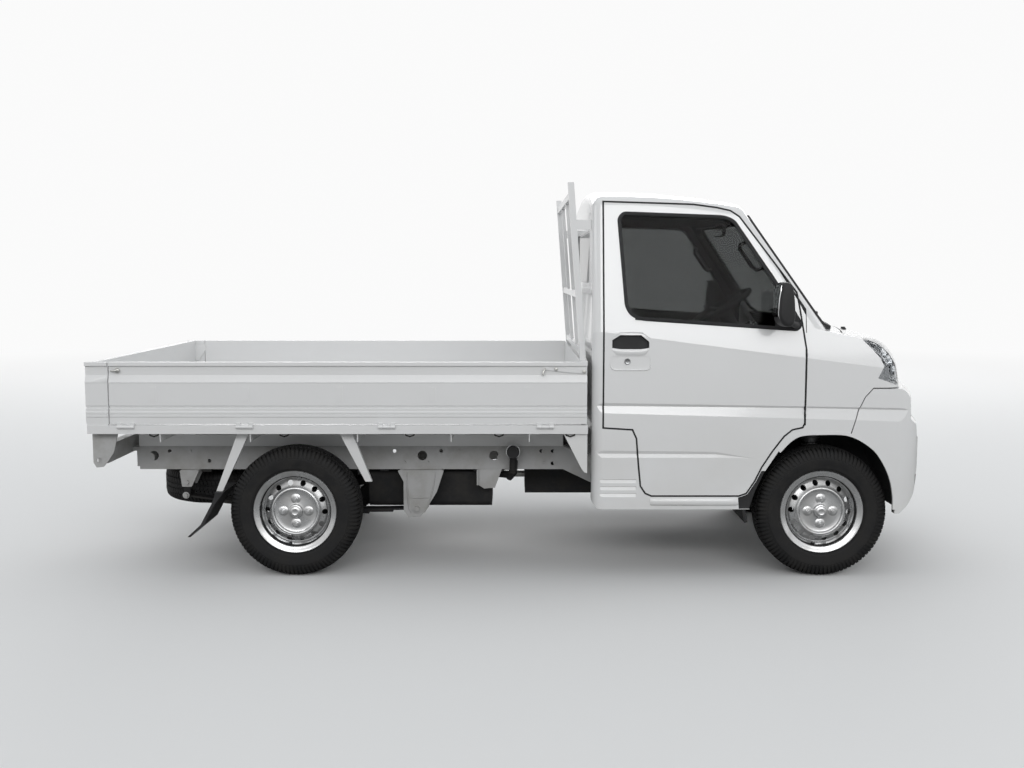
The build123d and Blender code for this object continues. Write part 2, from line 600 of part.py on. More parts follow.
FRONT_PLATE = ((183, BED_RAIL_Z + 2), (264, 507), (278, 488), (BED_FRONT_X - 1, 484),
               (BED_FRONT_X - 1, BED_RAIL_Z + 2))


def gate_section(outer, away):
    """Section of a gate: the coordinate across it and height; away is -1 or +1 inwards."""
    skin = [(outer + away * depth, z) for depth, z in GATE_SKIN]
    inner = outer + away * GATE_T
    return skin + [(inner, BED_TOP_Z), (inner, GATE_SKIN[0][1])]


with BuildPart() as load_bed:
    side = BED_SIDE_Y - 2
    rear, front = X_TAIL + 22, BED_FRONT_X
    block((rear, -side, DECK_Z - DECK_T), (front, side, DECK_Z))
    for sign in (1, -1):
        y_low, y_high = sorted((sign * (BED_SIDE_Y - 5), sign * BED_SIDE_Y))
        block((X_TAIL + 3, y_low, BED_RAIL_Z), (front, y_high, DECK_Z))
        y_low, y_high = sorted((sign * (BED_SIDE_Y - 30), sign * BED_SIDE_Y))
        block((X_TAIL + 3, y_low, BED_RAIL_Z), (front, y_high, BED_RAIL_Z + 4))
        y_low, y_high = sorted((sign * (BED_SIDE_Y - 22), sign * (BED_SIDE_Y - 17)))
        side_plate(FRONT_PLATE, y_low, y_high)
        # rear corner post
        with BuildSketch(Plane.YZ.offset(X_TAIL)) as post:
            Polygon(*gate_section(sign * BED_SIDE_Y, -sign), align=None)
        extrude(post.sketch, amount=CORNER_POST_L)
        y_low, y_high = sorted((sign * (BED_SIDE_Y - GATE_T), sign * (BED_SIDE_Y - 3)))
        block((X_TAIL + 3, y_low, DECK_Z - DECK_T), (X_TAIL + CORNER_POST_L - 3, y_high, 712))
        # long sills over the frame rails
        y_low, y_high = sorted((sign * RAIL_IN_Y, sign * RAIL_OUT_Y))
        block((RAIL_REAR_X, y_low, RAIL_TOP_Z + TOUCH), (RAIL_STEP[0], y_high, 604))
    block((rear, -side, BED_RAIL_Z), (rear + 6, side, DECK_Z))
    block((front - 6, -side, BED_RAIL_Z), (front, side, DECK_Z))
    for x in CROSS_SILLS:
        block((x - 24, -side + 6, 626), (x + 24, side - 6, DECK_Z - 6))
        block((x - 24, -RAIL_OUT_Y, 600), (x + 24, RAIL_OUT_Y, 630))
    # headboard
    with BuildSketch(Plane.XZ.offset(-TAIL_HALF)) as board:
        Polygon((HEADBOARD_X, DECK_Z - 2), (HEADBOARD_X, BED_TOP_Z), (front, BED_TOP_Z),
                (front, 965), (front - 12, 963), (front - 12, 926), (front - 2, 892),
                (front - 2, DECK_Z - 2), align=None)
    extrude(board.sketch, amount=2 * TAIL_HALF)
    # hinge barrels along the sides and the tail
    for sign in (1, -1):
        y = sign * (BED_SIDE_Y + BARREL_R)
        for x in HINGES:
            rod((x - PIN_HALF, y, HINGE_Z), (x + PIN_HALF, y, HINGE_Z), BARREL_R)
            block((x - PIN_HALF, min(y, y - sign * 14), HINGE_Z - 8),
                  (x + PIN_HALF, max(y, y - sign * 14), HINGE_Z - 2))
    x = TAIL_FACE_X - BARREL_R
    for y in (-560, 0, 560):
        rod((x, y - PIN_HALF, HINGE_Z), (x, y + PIN_HALF, HINGE_Z), BARREL_R)
        block((x, y - PIN_HALF, HINGE_Z - 8), (rear + 2, y + PIN_HALF, HINGE_Z - 2))
save(load_bed.part, "load_bed")


def build_side_gate():
    """Left drop side with its hinge leaves and its front latch."""
    with BuildPart() as gate:
        with BuildSketch(Plane.YZ.offset(GATE_X[0])) as section:
            Polygon(*gate_section(BED_SIDE_Y, -1), align=None)
        extrude(section.sketch, amount=GATE_X[1] - GATE_X[0])
        length, height, middle = STAKE_MARK
        for x in STAKE_MARKS:
            block((x - length / 2, BED_SIDE_Y - 6, middle - height / 2),
                  (x + length / 2, BED_SIDE_Y - 1, middle + height / 2))
        y = BED_SIDE_Y + BARREL_R
        for x in HINGES:
            for low in (x - HINGE_L / 2, x + HINGE_L / 2 - LEAF_L):
                rod((low, y, HINGE_Z), (low + LEAF_L, y, HINGE_Z), BARREL_R)
                block((low, BED_SIDE_Y - 6, HINGE_Z + 12), (low + LEAF_L, y, HINGE_Z + 17))
                block((low, y - 4, HINGE_Z + 2), (low + LEAF_L, y + 4, HINGE_Z + 17))
        front = GATE_X[1]
        lever = ((front - 4, 932), (front - 4, 952), (front - 60, 956), (front - 185, 957),
                 (front - 185, 949), (front - 90, 938))
        side_plate(lever, BED_SIDE_Y - 13, BED_SIDE_Y - 4)
        rod((front - 14, BED_SIDE_Y - 13, 942), (front - 14, BED_SIDE_Y + 2, 942), 7)
    return gate.part


gate_left = build_side_gate()
save(gate_left, "side_gate_left")
save(mirrored(gate_left), "side_gate_right")

with BuildPart() as tailgate:
    with BuildSketch(Plane.XZ.offset(-TAIL_HALF)) as section:
        Polygon(*gate_section(TAIL_FACE_X, 1), align=None)
    extrude(section.sketch, amount=2 * TAIL_HALF)
    x = TAIL_FACE_X - BARREL_R
    for y in (-560, 0, 560):
        for low in (y - HINGE_L / 2, y + HINGE_L / 2 - LEAF_L):
            rod((x, low, HINGE_Z), (x, low + LEAF_L, HINGE_Z), BARREL_R)
            block((x, low, HINGE_Z + 12), (TAIL_FACE_X + 6, low + LEAF_L, HINGE_Z + 17))
            block((x - 4, low, HINGE_Z + 2), (x + 4, low + LEAF_L, HINGE_Z + 17))
save(tailgate.part, "tailgate")

# ---------------------------------------------------------------- guard frame
GUARD_Y = 620.0
GUARD_TOP_Z = 1779.0
GUARD_FOOT_X = 278.0
GUARD_LEAN = 0.0745                         # rearwards run for each millimetre of height
GUARD_BARS = (-215.0, 215.0)
GUARD_CROSS = (1016.0, 1280.0, 1722.0)


def guard_x(z):
    """Middle of the leaning guard frame at height z."""
    return GUARD_FOOT_X - GUARD_LEAN * (z - BED_TOP_Z)


def leaning_bar(y, width, depth, low, high):
    """A flat bar of the guard frame at y, between two heights."""
    side_plate(((guard_x(low) - depth / 2, low), (guard_x(low) + depth / 2, low),
                (guard_x(high) + depth / 2, high), (guard_x(high) - depth / 2, high)),
               y - width / 2, y + width / 2)


with BuildPart() as guard_frame:
    foot_z = BED_TOP_Z + TOUCH
    for sign in (1, -1):
        leaning_bar(sign * GUARD_Y, 30, 28, foot_z, GUARD_TOP_Z)
        y = sign * GUARD_Y
        block((HEADBOARD_X + 2, y - 40, foot_z), (BED_FRONT_X, y + 40, foot_z + 6))
        block((guard_x(1590), y - 12, 1570), (CAB_REAR_X - TOUCH, y + 12, 1612))
    for y in GUARD_BARS:
        leaning_bar(y, 30, 16, GUARD_CROSS[0], GUARD_CROSS[-1])
    for z in GUARD_CROSS:
        side_plate(((guard_x(z) - 11, z - 15), (guard_x(z) + 11, z - 15),
                    (guard_x(z) + 11, z + 15), (guard_x(z) - 11, z + 15)), -GUARD_Y, GUARD_Y)
save(guard_frame.part, "guard_frame")


# ---------------------------------------------------------------- cab: its outer form
NOSE_R = 2000.0                             # the nose's curve in plan
BUMPER_X = X_NOSE - 20.0                    # bumper skin at the centreline
PLAN_X = BUMPER_X - NOSE_R                  # centre of that curve
FRONT_PANEL_X = BUMPER_X - 85.0             # front panel above the bumper
BUMPER_CORNER_R = 130.0
PANEL_CORNER_R = 120.0
COWL = (1461.0, 1137.0)                     # foot of the windscreen at the centreline
BONNET_BREAK = (1690.0, 1080.0)
BONNET_LIP = (1812.0, 960.0)
BUMPER_TOP_Z = 866.0
SCREEN_RUN = 0.733                          # rearwards run of the screen for its height
SCREEN_R = 2227.0
ROOF_TOP_X = 400.0
ROOF_LONG_R = 3500.0
ROOF_CROSS_R = 3700.0
CREASE = (388.0, 1112.0)                    # shoulder crease at the rear
CREASE_FALL = 0.128
TUMBLEHOME = 0.175                          # inwards run of the upper sides for height
CAB_EDGE_R = 50.0                           # roof, pillars and rear edges


def shoulder_plane(sign, inset):
    """The leaning plane of the upper side, moved inwards by inset."""
    out = Vector(TUMBLEHOME * CREASE_FALL, sign, TUMBLEHOME).normalized()
    point = Vector(CREASE[0], sign * CAB_SIDE_Y, CREASE[1]) - out * inset
    return Plane(origin=point, z_dir=out)


def nose_outline(inset):
    """Centreline section of the body below the glass: distance from the plan centre, height."""

    def at(x, z, across=1.0, up=0.0):
        return (x - PLAN_X - inset * across, z - inset * up)

    cowl_x, cowl_z = COWL
    with BuildSketch(Plane(origin=(PLAN_X, 0, 0), x_dir=(-1, 0, 0), z_dir=(0, 1, 0))) as section:
        with BuildLine():
            top = Line(at(CAB_REAR_X, cowl_z, 0, 1), at(cowl_x, cowl_z, 0, 1))
            bonnet = Line(top @ 1, at(*BONNET_BREAK, 0.3, 1))
            lip = TangentArc(bonnet @ 1, at(*BONNET_LIP, 1, 0.4), tangent=bonnet % 1)
            panel = Line(lip @ 1, at(FRONT_PANEL_X - 4, BUMPER_TOP_Z + 3))
            shelf = ThreePointArc(panel @ 1, at(FRONT_PANEL_X + 36, 845), at(FRONT_PANEL_X + 50, 790))
            face = Line(shelf @ 1, at(FRONT_PANEL_X + 54, 726))
            step = Line(face @ 1, at(BUMPER_X - 9, 700))
            belly = ThreePointArc(step @ 1, at(BUMPER_X, 560), at(BUMPER_X - 6, 420))
            chin = ThreePointArc(belly @ 1, at(BUMPER_X - 22, 355), at(BUMPER_X - 65, 300, 1, -1))
            foot = Line(chin @ 1, at(1600, 300, 0, -1))
            sill = Line(foot @ 1, at(1600, SILL_Z, 0, -1))
            under = Line(sill @ 1, at(CAB_REAR_X, SILL_Z, 0, -1))
            Line(under @ 1, top @ 0)
        make_face()
    return section.sketch


def plan_outline(nose_x, corner_r, inset, z):
    """Plan of the body at one level: a curved nose between flat sides."""
    with BuildSketch(Plane.XY.offset(z)) as plan:
        with Locations((PLAN_X, 0)):
            Circle(nose_x - PLAN_X - inset)
        with Locations((CAB_REAR_X + inset, 0)):
            Rectangle(2 * WHEELBASE, 2 * (CAB_SIDE_Y - inset), align=(Align.MIN, Align.CENTER),
                      mode=Mode.INTERSECT)
        fillet(plan.vertices().group_by(Axis.X)[-1], radius=corner_r - inset)
    return plan.sketch


def behind_screen(inset):
    """Everything behind the windscreen's plane curve, which leans back as it rises."""
    slant = sqrt(1 + SCREEN_RUN ** 2)
    low_z = COWL[1] - 77
    screen_x = COWL[0] + SCREEN_RUN * (COWL[1] - low_z) - inset * slant
    with BuildPart() as prism:
        with BuildSketch(Plane.XY.offset(low_z)) as foot:
            with Locations((screen_x - SCREEN_R, 0)):
                Circle(SCREEN_R)
            with Locations((CAB_REAR_X + inset, 0)):
                Rectangle(2 * WHEELBASE, 2 * CAB_SIDE_Y, align=(Align.MIN, Align.CENTER),
                          mode=Mode.INTERSECT)
        extrude(foot.sketch, amount=800 * slant, dir=(-SCREEN_RUN, 0, 1))
    return prism.part


def cab_form(inset=0.0, rounded=True):
    """The cab as one closed form, with every skin moved inwards by inset."""
    with BuildPart() as lower:
        revolve(nose_outline(inset), axis=Axis((PLAN_X, 0, 0), (0, 0, 1)))
        extrude(plan_outline(BUMPER_X, BUMPER_CORNER_R, inset, 200), amount=1200, mode=Mode.INTERSECT)
    with BuildPart() as tiers:
        extrude(plan_outline(BUMPER_X + 200, BUMPER_CORNER_R, inset, 200), amount=BUMPER_TOP_Z - 200)
        extrude(plan_outline(FRONT_PANEL_X, PANEL_CORNER_R, inset, BUMPER_TOP_Z), amount=500)
    with BuildPart() as upper:
        add(behind_screen(inset))
        axis_z = ROOF_Z - ROOF_LONG_R
        crown_r = ROOF_CROSS_R - inset
        crown_z = ROOF_LONG_R - inset
        with BuildSketch(Plane(origin=(ROOF_TOP_X, 0, axis_z), x_dir=(0, 1, 0), z_dir=(1, 0, 0))) as crown:
            with Locations((0, crown_z - crown_r)):
                Circle(crown_r)
            with Locations((0, crown_z - 900)):
                Rectangle(1800, 2000, align=(Align.CENTER, Align.MIN), mode=Mode.INTERSECT)
        revolve(crown.sketch, axis=Axis((ROOF_TOP_X, 0, axis_z), (0, 1, 0)), mode=Mode.INTERSECT)
        block((CAB_REAR_X + inset, -900, 1000), (2000, 900, 2000), mode=Mode.INTERSECT)
    with BuildPart() as form:
        add(lower.part)
        add(tiers.part, mode=Mode.INTERSECT)
        add(upper.part)
        for sign in (1, -1):
            split(bisect_by=shoulder_plane(sign, inset), keep=Keep.BOTTOM)
        if rounded:
            rear = form.faces().sort_by(Axis.X)[0].edges()
            soft = rear.filter_by(lambda edge: edge.center().Z > SILL_Z + 100)
            soft += form.edges().filter_by(
                lambda edge: edge.length > 500 and edge.bounding_box().max.Z > 1620
                and edge.center().X > CAB_REAR_X + CAB_EDGE_R)
            fillet(soft, radius=CAB_EDGE_R)
    return form.part


# ---------------------------------------------------------------- cab: openings, as XZ outlines
DOOR_LOW = ((361, 1096), (361, 688), (492, 680), (510, 640), (520, 520), (530, 425), (552, 392),
            (580, 380), (972, 380), (1005, 392), (1041, 447), (1071, 510), (1120, 586),
            (1168, 650), (1205, 680), (1250, 690), (1259, 710), (1259, 1040), (1245, 1138))
DOOR_HIGH = ((1222, 1289), (970, 1625), (930, 1652), (870, 1666), (766, 1680), (361, 1692))
DOOR_WINDOW = ((431, 1617), (451, 1640), (898, 1624), (942, 1608), (1126, 1335), (1238, 1150),
               (1221, 1126), (527, 1173), (482, 1193), (462, 1229))
ARCH = ((1012, 250), (1020, 320), (1045, 400), (1091, 500), (1144, 581), (1199, 638), (1250, 662),
        (1426, 666), (1483, 653), (1541, 621), (1588, 581), (1630, 517), (1658, 448), (1671, 378),
        (1674, 250))
FENDER_SEAM = ((1560, BUMPER_TOP_Z), (1525, 827), (1501, 776), (1463, 650))
LAMP = ((1513, 1078), (1513, 1200), (1900, 1200), (1900, 880), (1664, 880),
        (1579, 911), (1604, 963), (1590, 997), (1547, 1045))
SCREEN_Z = (1150.0, 1622.0)
SCREEN_HALF = (668.0, 592.0)                # half widths of the opening at foot and head
REAR_WINDOW = (520.0, 1330.0, 1570.0)       # half width, low and high edge
BONNET_PLAN = ((1250, 700), (1500, 690), (1560, 640), (1640, 560), (1950, 548))
DOOR_FOOT_Z = 380.0
WALL_IN = CAB_SIDE_Y - WALL                 # inner face of the side skins
LINER_Y = 412.0                             # inner wall of the wheel houses
LINER_T = 6.0
LINER_GROW = 18.0

# grooves along the sides: x, then height of the lip, the deepest line and the foot, and depth
SIDE_BAND = ((300, 805, 787, 749, 9), (1258, 787, 777, 720, 9), (1900, 776, 764, 698, 9))
SIDE_RIDGE = ((300, 591, 572, 549, 7), (861, 585, 569, 549, 6), (1036, 552, 550.5, 549, 0.6))
LOUVRES = (458, 426, 395)
LOUVRE_X = (349, 511)
REAR_CORNER_R = 45.0                        # lower rear corner of each side


def side_groove(sections):
    """Solid that cuts a groove in the left side, along the given sections."""
    with BuildPart() as groove:
        for x, lip, deep, foot, depth in sections:
            with BuildSketch(Plane.YZ.offset(x)):
                Polygon((CAB_SIDE_Y + 2, lip), (CAB_SIDE_Y - depth, deep), (CAB_SIDE_Y + 2, foot),
                        align=None)
        loft(ruled=True)
    return groove.part


with BuildPart() as rear_corner:
    x, z = CAB_REAR_X + REAR_CORNER_R, SILL_Z + REAR_CORNER_R
    block((CAB_REAR_X - 1, -800, SILL_Z - 1), (x, 800, z))
    rod((x, -800, z), (x, 800, z), REAR_CORNER_R, mode=Mode.SUBTRACT)

with BuildPart() as carved:
    add(cab_form())
    grooves = [side_groove(SIDE_BAND), side_groove(SIDE_RIDGE)]
    for lip in LOUVRES:
        grooves.append(side_groove([(x, lip, lip - 5, lip - 24, 6) for x in LOUVRE_X]))
    for groove in grooves:
        add(groove, mode=Mode.SUBTRACT)
        add(mirrored(groove), mode=Mode.SUBTRACT)
    add(rear_corner.part, mode=Mode.SUBTRACT)
outer_form = carved.part
inner_form = cab_form(WALL, rounded=False)
glass_outer = cab_form(GLASS_INSET, rounded=False)
glass_inner = cab_form(GLASS_INSET + GLASS_T, rounded=False)

with BuildPart() as skin:
    add(outer_form)
    add(inner_form, mode=Mode.SUBTRACT)
skin = skin.part

with BuildPart() as glazing:
    add(glass_outer)
    add(glass_inner, mode=Mode.SUBTRACT)
glazing = glazing.part

half_seam = SEAM / 2
DOOR_SEAM = 4.0                             # half the gap round each door
INTAKE_HALF = 440.0                         # black intake panel in the bumper
INTAKE_Z = (445.0, 600.0)
INSIDE_Y = 600.0                            # side openings are cut from here outwards


def screen_prism(grow):
    """Solid that cuts the windscreen's opening, along X, grown by a margin."""
    foot, head = SCREEN_HALF
    low, high = SCREEN_Z
    with BuildPart() as prism:
        with BuildSketch(Plane.YZ.offset(900)) as outline:
            Polygon((-foot - grow, low - grow), (foot + grow, low - grow),
                    (head + grow, high + grow), (-head - grow, high + grow), align=None)
            fillet(outline.vertices(), 45 + grow)
        extrude(outline.sketch, amount=650)
    return prism.part


def rear_prism(grow):
    """Solid that cuts the rear window's opening, along X, grown by a margin."""
    half, low, high = REAR_WINDOW
    with BuildPart() as prism:
        with BuildSketch(Plane.YZ.offset(CAB_REAR_X - 10)) as outline:
            Polygon((-half - grow, low - grow), (half + grow, low - grow),
                    (half + grow, high + grow), (-half - grow, high + grow), align=None)
            fillet(outline.vertices(), 35 + grow)
        extrude(outline.sketch, amount=WALL + 30)
    return prism.part


def side_prism(outline, grow=0.0, corner=0.0, y_low=INSIDE_Y, y_high=900.0):
    """Solid over a side outline, on the left."""
    with BuildPart() as prism:
        side_plate(outline, y_low, y_high, grow=grow, corner=corner)
    return prism.part


def bonnet_prism(grow):
    """Solid over the bonnet's plan outline, above the bumper."""
    right = [(x, -y) for x, y in reversed(BONNET_PLAN)]
    with BuildPart() as prism:
        with BuildSketch(Plane.XY.offset(BUMPER_TOP_Z + 14 - grow)) as outline:
            Polygon(*BONNET_PLAN, *right, align=None)
            if grow:
                offset(amount=grow, kind=Kind.INTERSECTION, mode=Mode.REPLACE)
        extrude(outline.sketch, amount=500)
    return prism.part


def bumper_prism(grow):
    """Solid over the bumper's region: below its top seam, ahead of the fender seam."""
    region = (*FENDER_SEAM, (1463, 280), (2000, 280), (2000, BUMPER_TOP_Z))
    return side_prism(region, grow=grow, y_low=-900)


def lamp_prism(grow):
    """Solid over both headlamps."""
    with BuildPart() as prism:
        side_plate(LAMP, 300, 900, grow=grow)
        side_plate(LAMP, -900, -300, grow=grow)
        add(bonnet_prism(half_seam), mode=Mode.SUBTRACT)
    return prism.part


door_outline = DOOR_LOW + DOOR_HIGH
arch_cut = side_prism(ARCH, y_low=LINER_Y)

# flap under each wheel house's rear edge, and the black guard that closes the arch over it
FLAP_FRONT = ((990, SILL_Z - TOUCH), (1006, SILL_Z - TOUCH), (1017, 256), (1005, 253))
FLAP_FRONT_Y = (415.0, 745.0)
ARCH_GUARD = ((973, 322), (969, 373), (982, 377), (1010, 388), (1048, 447), (1071, 494), (1105, 494),
              (1105, 322))
GUARD_FACE_Y = (WALL_IN + TOUCH, 757.0)
guard_room = side_prism(ARCH_GUARD, grow=TOUCH, y_low=WALL_IN)
arch_guard = side_prism(ARCH_GUARD, y_low=GUARD_FACE_Y[0], y_high=GUARD_FACE_Y[1])
arch_guard = arch_guard - side_prism(door_outline, grow=DOOR_SEAM) - arch_cut

with BuildPart() as mud_flaps:
    for side, sign in SIDES:
        y_low, y_high = sorted((sign * FLAP_REAR_Y[0], sign * FLAP_REAR_Y[1]))
        side_plate([(x, min(z, 391.7)) for x, z in FLAP_REAR], y_low, y_high)
        block((-1384, y_low, 380), (-1360, y_high, 391.7))
        y_low, y_high = sorted((sign * FLAP_FRONT_Y[0], sign * FLAP_FRONT_Y[1]))
        side_plate(FLAP_FRONT, y_low, y_high)
        guard = arch_guard if sign > 0 else mirrored(arch_guard)
        add(guard)
save(mud_flaps.part, "mud_flaps")

screen_clear = 50.0                         # cowl strip, from the screen to the bonnet

BONNET_T = 20.0
BONNET_PIN = (1436.0, 1104.0)               # hinge line of the bonnet, in X and Z
BONNET_PIN_Y = (640.0, 652.0, 668.0, 680.0)
PIN_R = 3.5
PIN_ROOM = PIN_R + 1.5
BONNET_PIN_ROOM = 12.0


def bonnet_hinge(moving):
    """Hinge segments at both rear corners: the middle ones for the bonnet."""
    x, z = BONNET_PIN
    leaf_x = x + 20 if moving else x - 12
    first, second, third, last = BONNET_PIN_Y
    spans = ((second + TOUCH, third - TOUCH),) if moving else ((first, second), (third, last))
    with BuildPart() as hinge:
        for sign in (1, -1):
            for start, end in spans:
                y_low, y_high = sorted((sign * start, sign * end))
                rod((x, y_low, z), (x, y_high, z), PIN_R)
                block((min(x, leaf_x), y_low, z - 3), (max(x, leaf_x), y_high, z + 2))
    return hinge.part


with BuildPart() as bonnet_pin_room:
    for sign in (1, -1):
        x, z = BONNET_PIN
        y_low, y_high = sorted((sign * (BONNET_PIN_Y[0] - 1), sign * (BONNET_PIN_Y[-1] + 1)))
        rod((x, y_low, z), (x, y_high, z), BONNET_PIN_ROOM)
bonnet_pin_room = bonnet_pin_room.part

with BuildPart() as bonnet:
    add(outer_form)
    add(cab_form(BONNET_T, rounded=False), mode=Mode.SUBTRACT)
    add(bonnet_prism(-half_seam), mode=Mode.INTERSECT)
    add(behind_screen(-screen_clear), mode=Mode.SUBTRACT)
    add(bonnet_pin_room, mode=Mode.SUBTRACT)
    add(bonnet_hinge(moving=True))
save(bonnet.part, "bonnet")

with BuildPart() as front_bumper:
    add(skin)
    add(bumper_prism(-half_seam), mode=Mode.INTERSECT)
    add(arch_cut, mode=Mode.SUBTRACT)
    add(mirrored(arch_cut), mode=Mode.SUBTRACT)
    block((BUMPER_X - 70, -INTAKE_HALF, INTAKE_Z[0]), (BUMPER_X + 50, INTAKE_HALF, INTAKE_Z[1]),
          mode=Mode.SUBTRACT)
    block((1400, -WALL_IN, 200), (1840, WALL_IN, SILL_Z + WALL + 1), mode=Mode.SUBTRACT)
    for sign in (1, -1):                    # brackets to the ends of the frame rails
        y_low, y_high = sorted((sign * (RAIL_IN_Y + 2), sign * (RAIL_OUT_Y - 1)))
        block((RAIL_FRONT_X + TOUCH, y_low, RAIL_LOW_TOP_Z - RAIL_H + 2), (1860, y_high, RAIL_LOW_TOP_Z - 2))
save(front_bumper.part, "front_bumper")

with BuildPart() as headlamps:
    add(skin)
    add(lamp_prism(-TOUCH / 2), mode=Mode.INTERSECT)
save(headlamps.part, "headlamps")

with BuildPart() as windscreen:
    add(glazing)
    add(screen_prism(-TOUCH), mode=Mode.INTERSECT)
save(windscreen.part, "windscreen")

with BuildPart() as rear_window:
    add(glazing)
    add(rear_prism(-TOUCH), mode=Mode.INTERSECT)
save(rear_window.part, "rear_window")

window_cut = side_prism(DOOR_WINDOW)
with BuildPart() as door_glass:
    add(glazing)
    add(side_prism(DOOR_WINDOW, grow=-TOUCH), mode=Mode.INTERSECT)
save(door_glass.part, "door_glass_left")
save(mirrored(door_glass.part), "door_glass_right")

with BuildPart() as liner:
    side_plate(ARCH, LINER_Y - LINER_T, WALL_IN + 5, grow=LINER_GROW + LINER_T)
    side_plate(ARCH, LINER_Y, CAB_SIDE_Y, grow=LINER_GROW, mode=Mode.SUBTRACT)
    block((0, 0, 0), (3000, 900, SILL_Z + 1), mode=Mode.SUBTRACT)
    bumper_side = (*FENDER_SEAM, (1463, 280), (2000, 280), (2000, BUMPER_TOP_Z))
    side_plate(bumper_side, WALL_IN - 3, 900, grow=SEAM / 2, mode=Mode.SUBTRACT)
liner = liner.part

ARCH_INSIDE = side_prism(ARCH, grow=LINER_GROW, y_low=LINER_Y, y_high=WALL_IN)
ARCH_INSIDE_RIGHT = mirrored(ARCH_INSIDE)
arch_both = ARCH_INSIDE + ARCH_INSIDE_RIGHT
door_cut = side_prism(door_outline, grow=DOOR_SEAM)
SEAT_BOX_X = 1030.0
SEAT_BOX_Z = 640.0
FIREWALL_X = 1655.0
INSIDE = WALL_IN - MOVE                     # inner panels stay clear of the doors
SEAT_BOX_Y = 705.0
PANEL_T = 12.0
REAR_PANEL_Z = 505.0                        # bottom of the rear panel, over the frame rails
STRUT_BOSS_R = 55.0
CAB_PADS = (1050.0, 1570.0)                 # cab mounts on the rails, rear edges
DOOR_HINGES = (730.0, 960.0)                # bottom of each door hinge
DOOR_PIN = (1259.0, 763.0)
KNUCKLE_L = 20.0                            # one third of a door hinge


def door_hinge(moving):
    """Hinge segments on the door pin: the middle ones for the door, the outer for the cab."""
    x, y = DOOR_PIN
    leaf_x = x - 9 if moving else x + 9
    with BuildPart() as hinge:
        for z in DOOR_HINGES:
            low = z + KNUCKLE_L + TOUCH
            spans = ((low, z + 2 * KNUCKLE_L - TOUCH),) if moving else (
                (z, z + KNUCKLE_L), (z + 2 * KNUCKLE_L, z + 3 * KNUCKLE_L))
            for start, end in spans:
                rod((x, y, start), (x, y, end), PIN_R)
                block((min(x, leaf_x), y - 3, start), (max(x, leaf_x), y, end))
    return hinge.part


with BuildPart() as hinge_room:
    for z in DOOR_HINGES:
        rod((*DOOR_PIN, z - 1), (*DOOR_PIN, z + 3 * KNUCKLE_L + 1), PIN_ROOM)
hinge_room = hinge_room.part

HANDLE_CAVITY = ((398, 1040), (398, 1080), (433, 1102), (526, 1102), (562, 1072), (562, 1040))
HANDLE_PLATE = ((392, 952), (392, 1009), (567, 1009), (567, 952))

with BuildPart() as door:
    add(skin)
    add(side_prism(door_outline, grow=-DOOR_SEAM), mode=Mode.INTERSECT)
    add(window_cut, mode=Mode.SUBTRACT)
    add(hinge_room, mode=Mode.SUBTRACT)
    side_plate(HANDLE_CAVITY, CAB_SIDE_Y - 28, 800, corner=6, mode=Mode.SUBTRACT)
    side_plate(HANDLE_PLATE, CAB_SIDE_Y - 3, 800, corner=12, mode=Mode.SUBTRACT)
    add(door_hinge(moving=True))
save(door.part, "door_left")
save(mirrored(door.part), "door_right")

with BuildPart() as lid_cut:
    add(bonnet_prism(half_seam))
    add(behind_screen(SEAM - screen_clear), mode=Mode.SUBTRACT)

floor_low, floor_high = FLOOR_Z
with BuildPart() as bulkhead:
    block((FIREWALL_X, -WALL_IN, floor_low), (FIREWALL_X + PANEL_T, WALL_IN, 1100))
    add(cab_form(WALL + TOUCH, rounded=False), mode=Mode.INTERSECT)
    add(arch_both, mode=Mode.SUBTRACT)

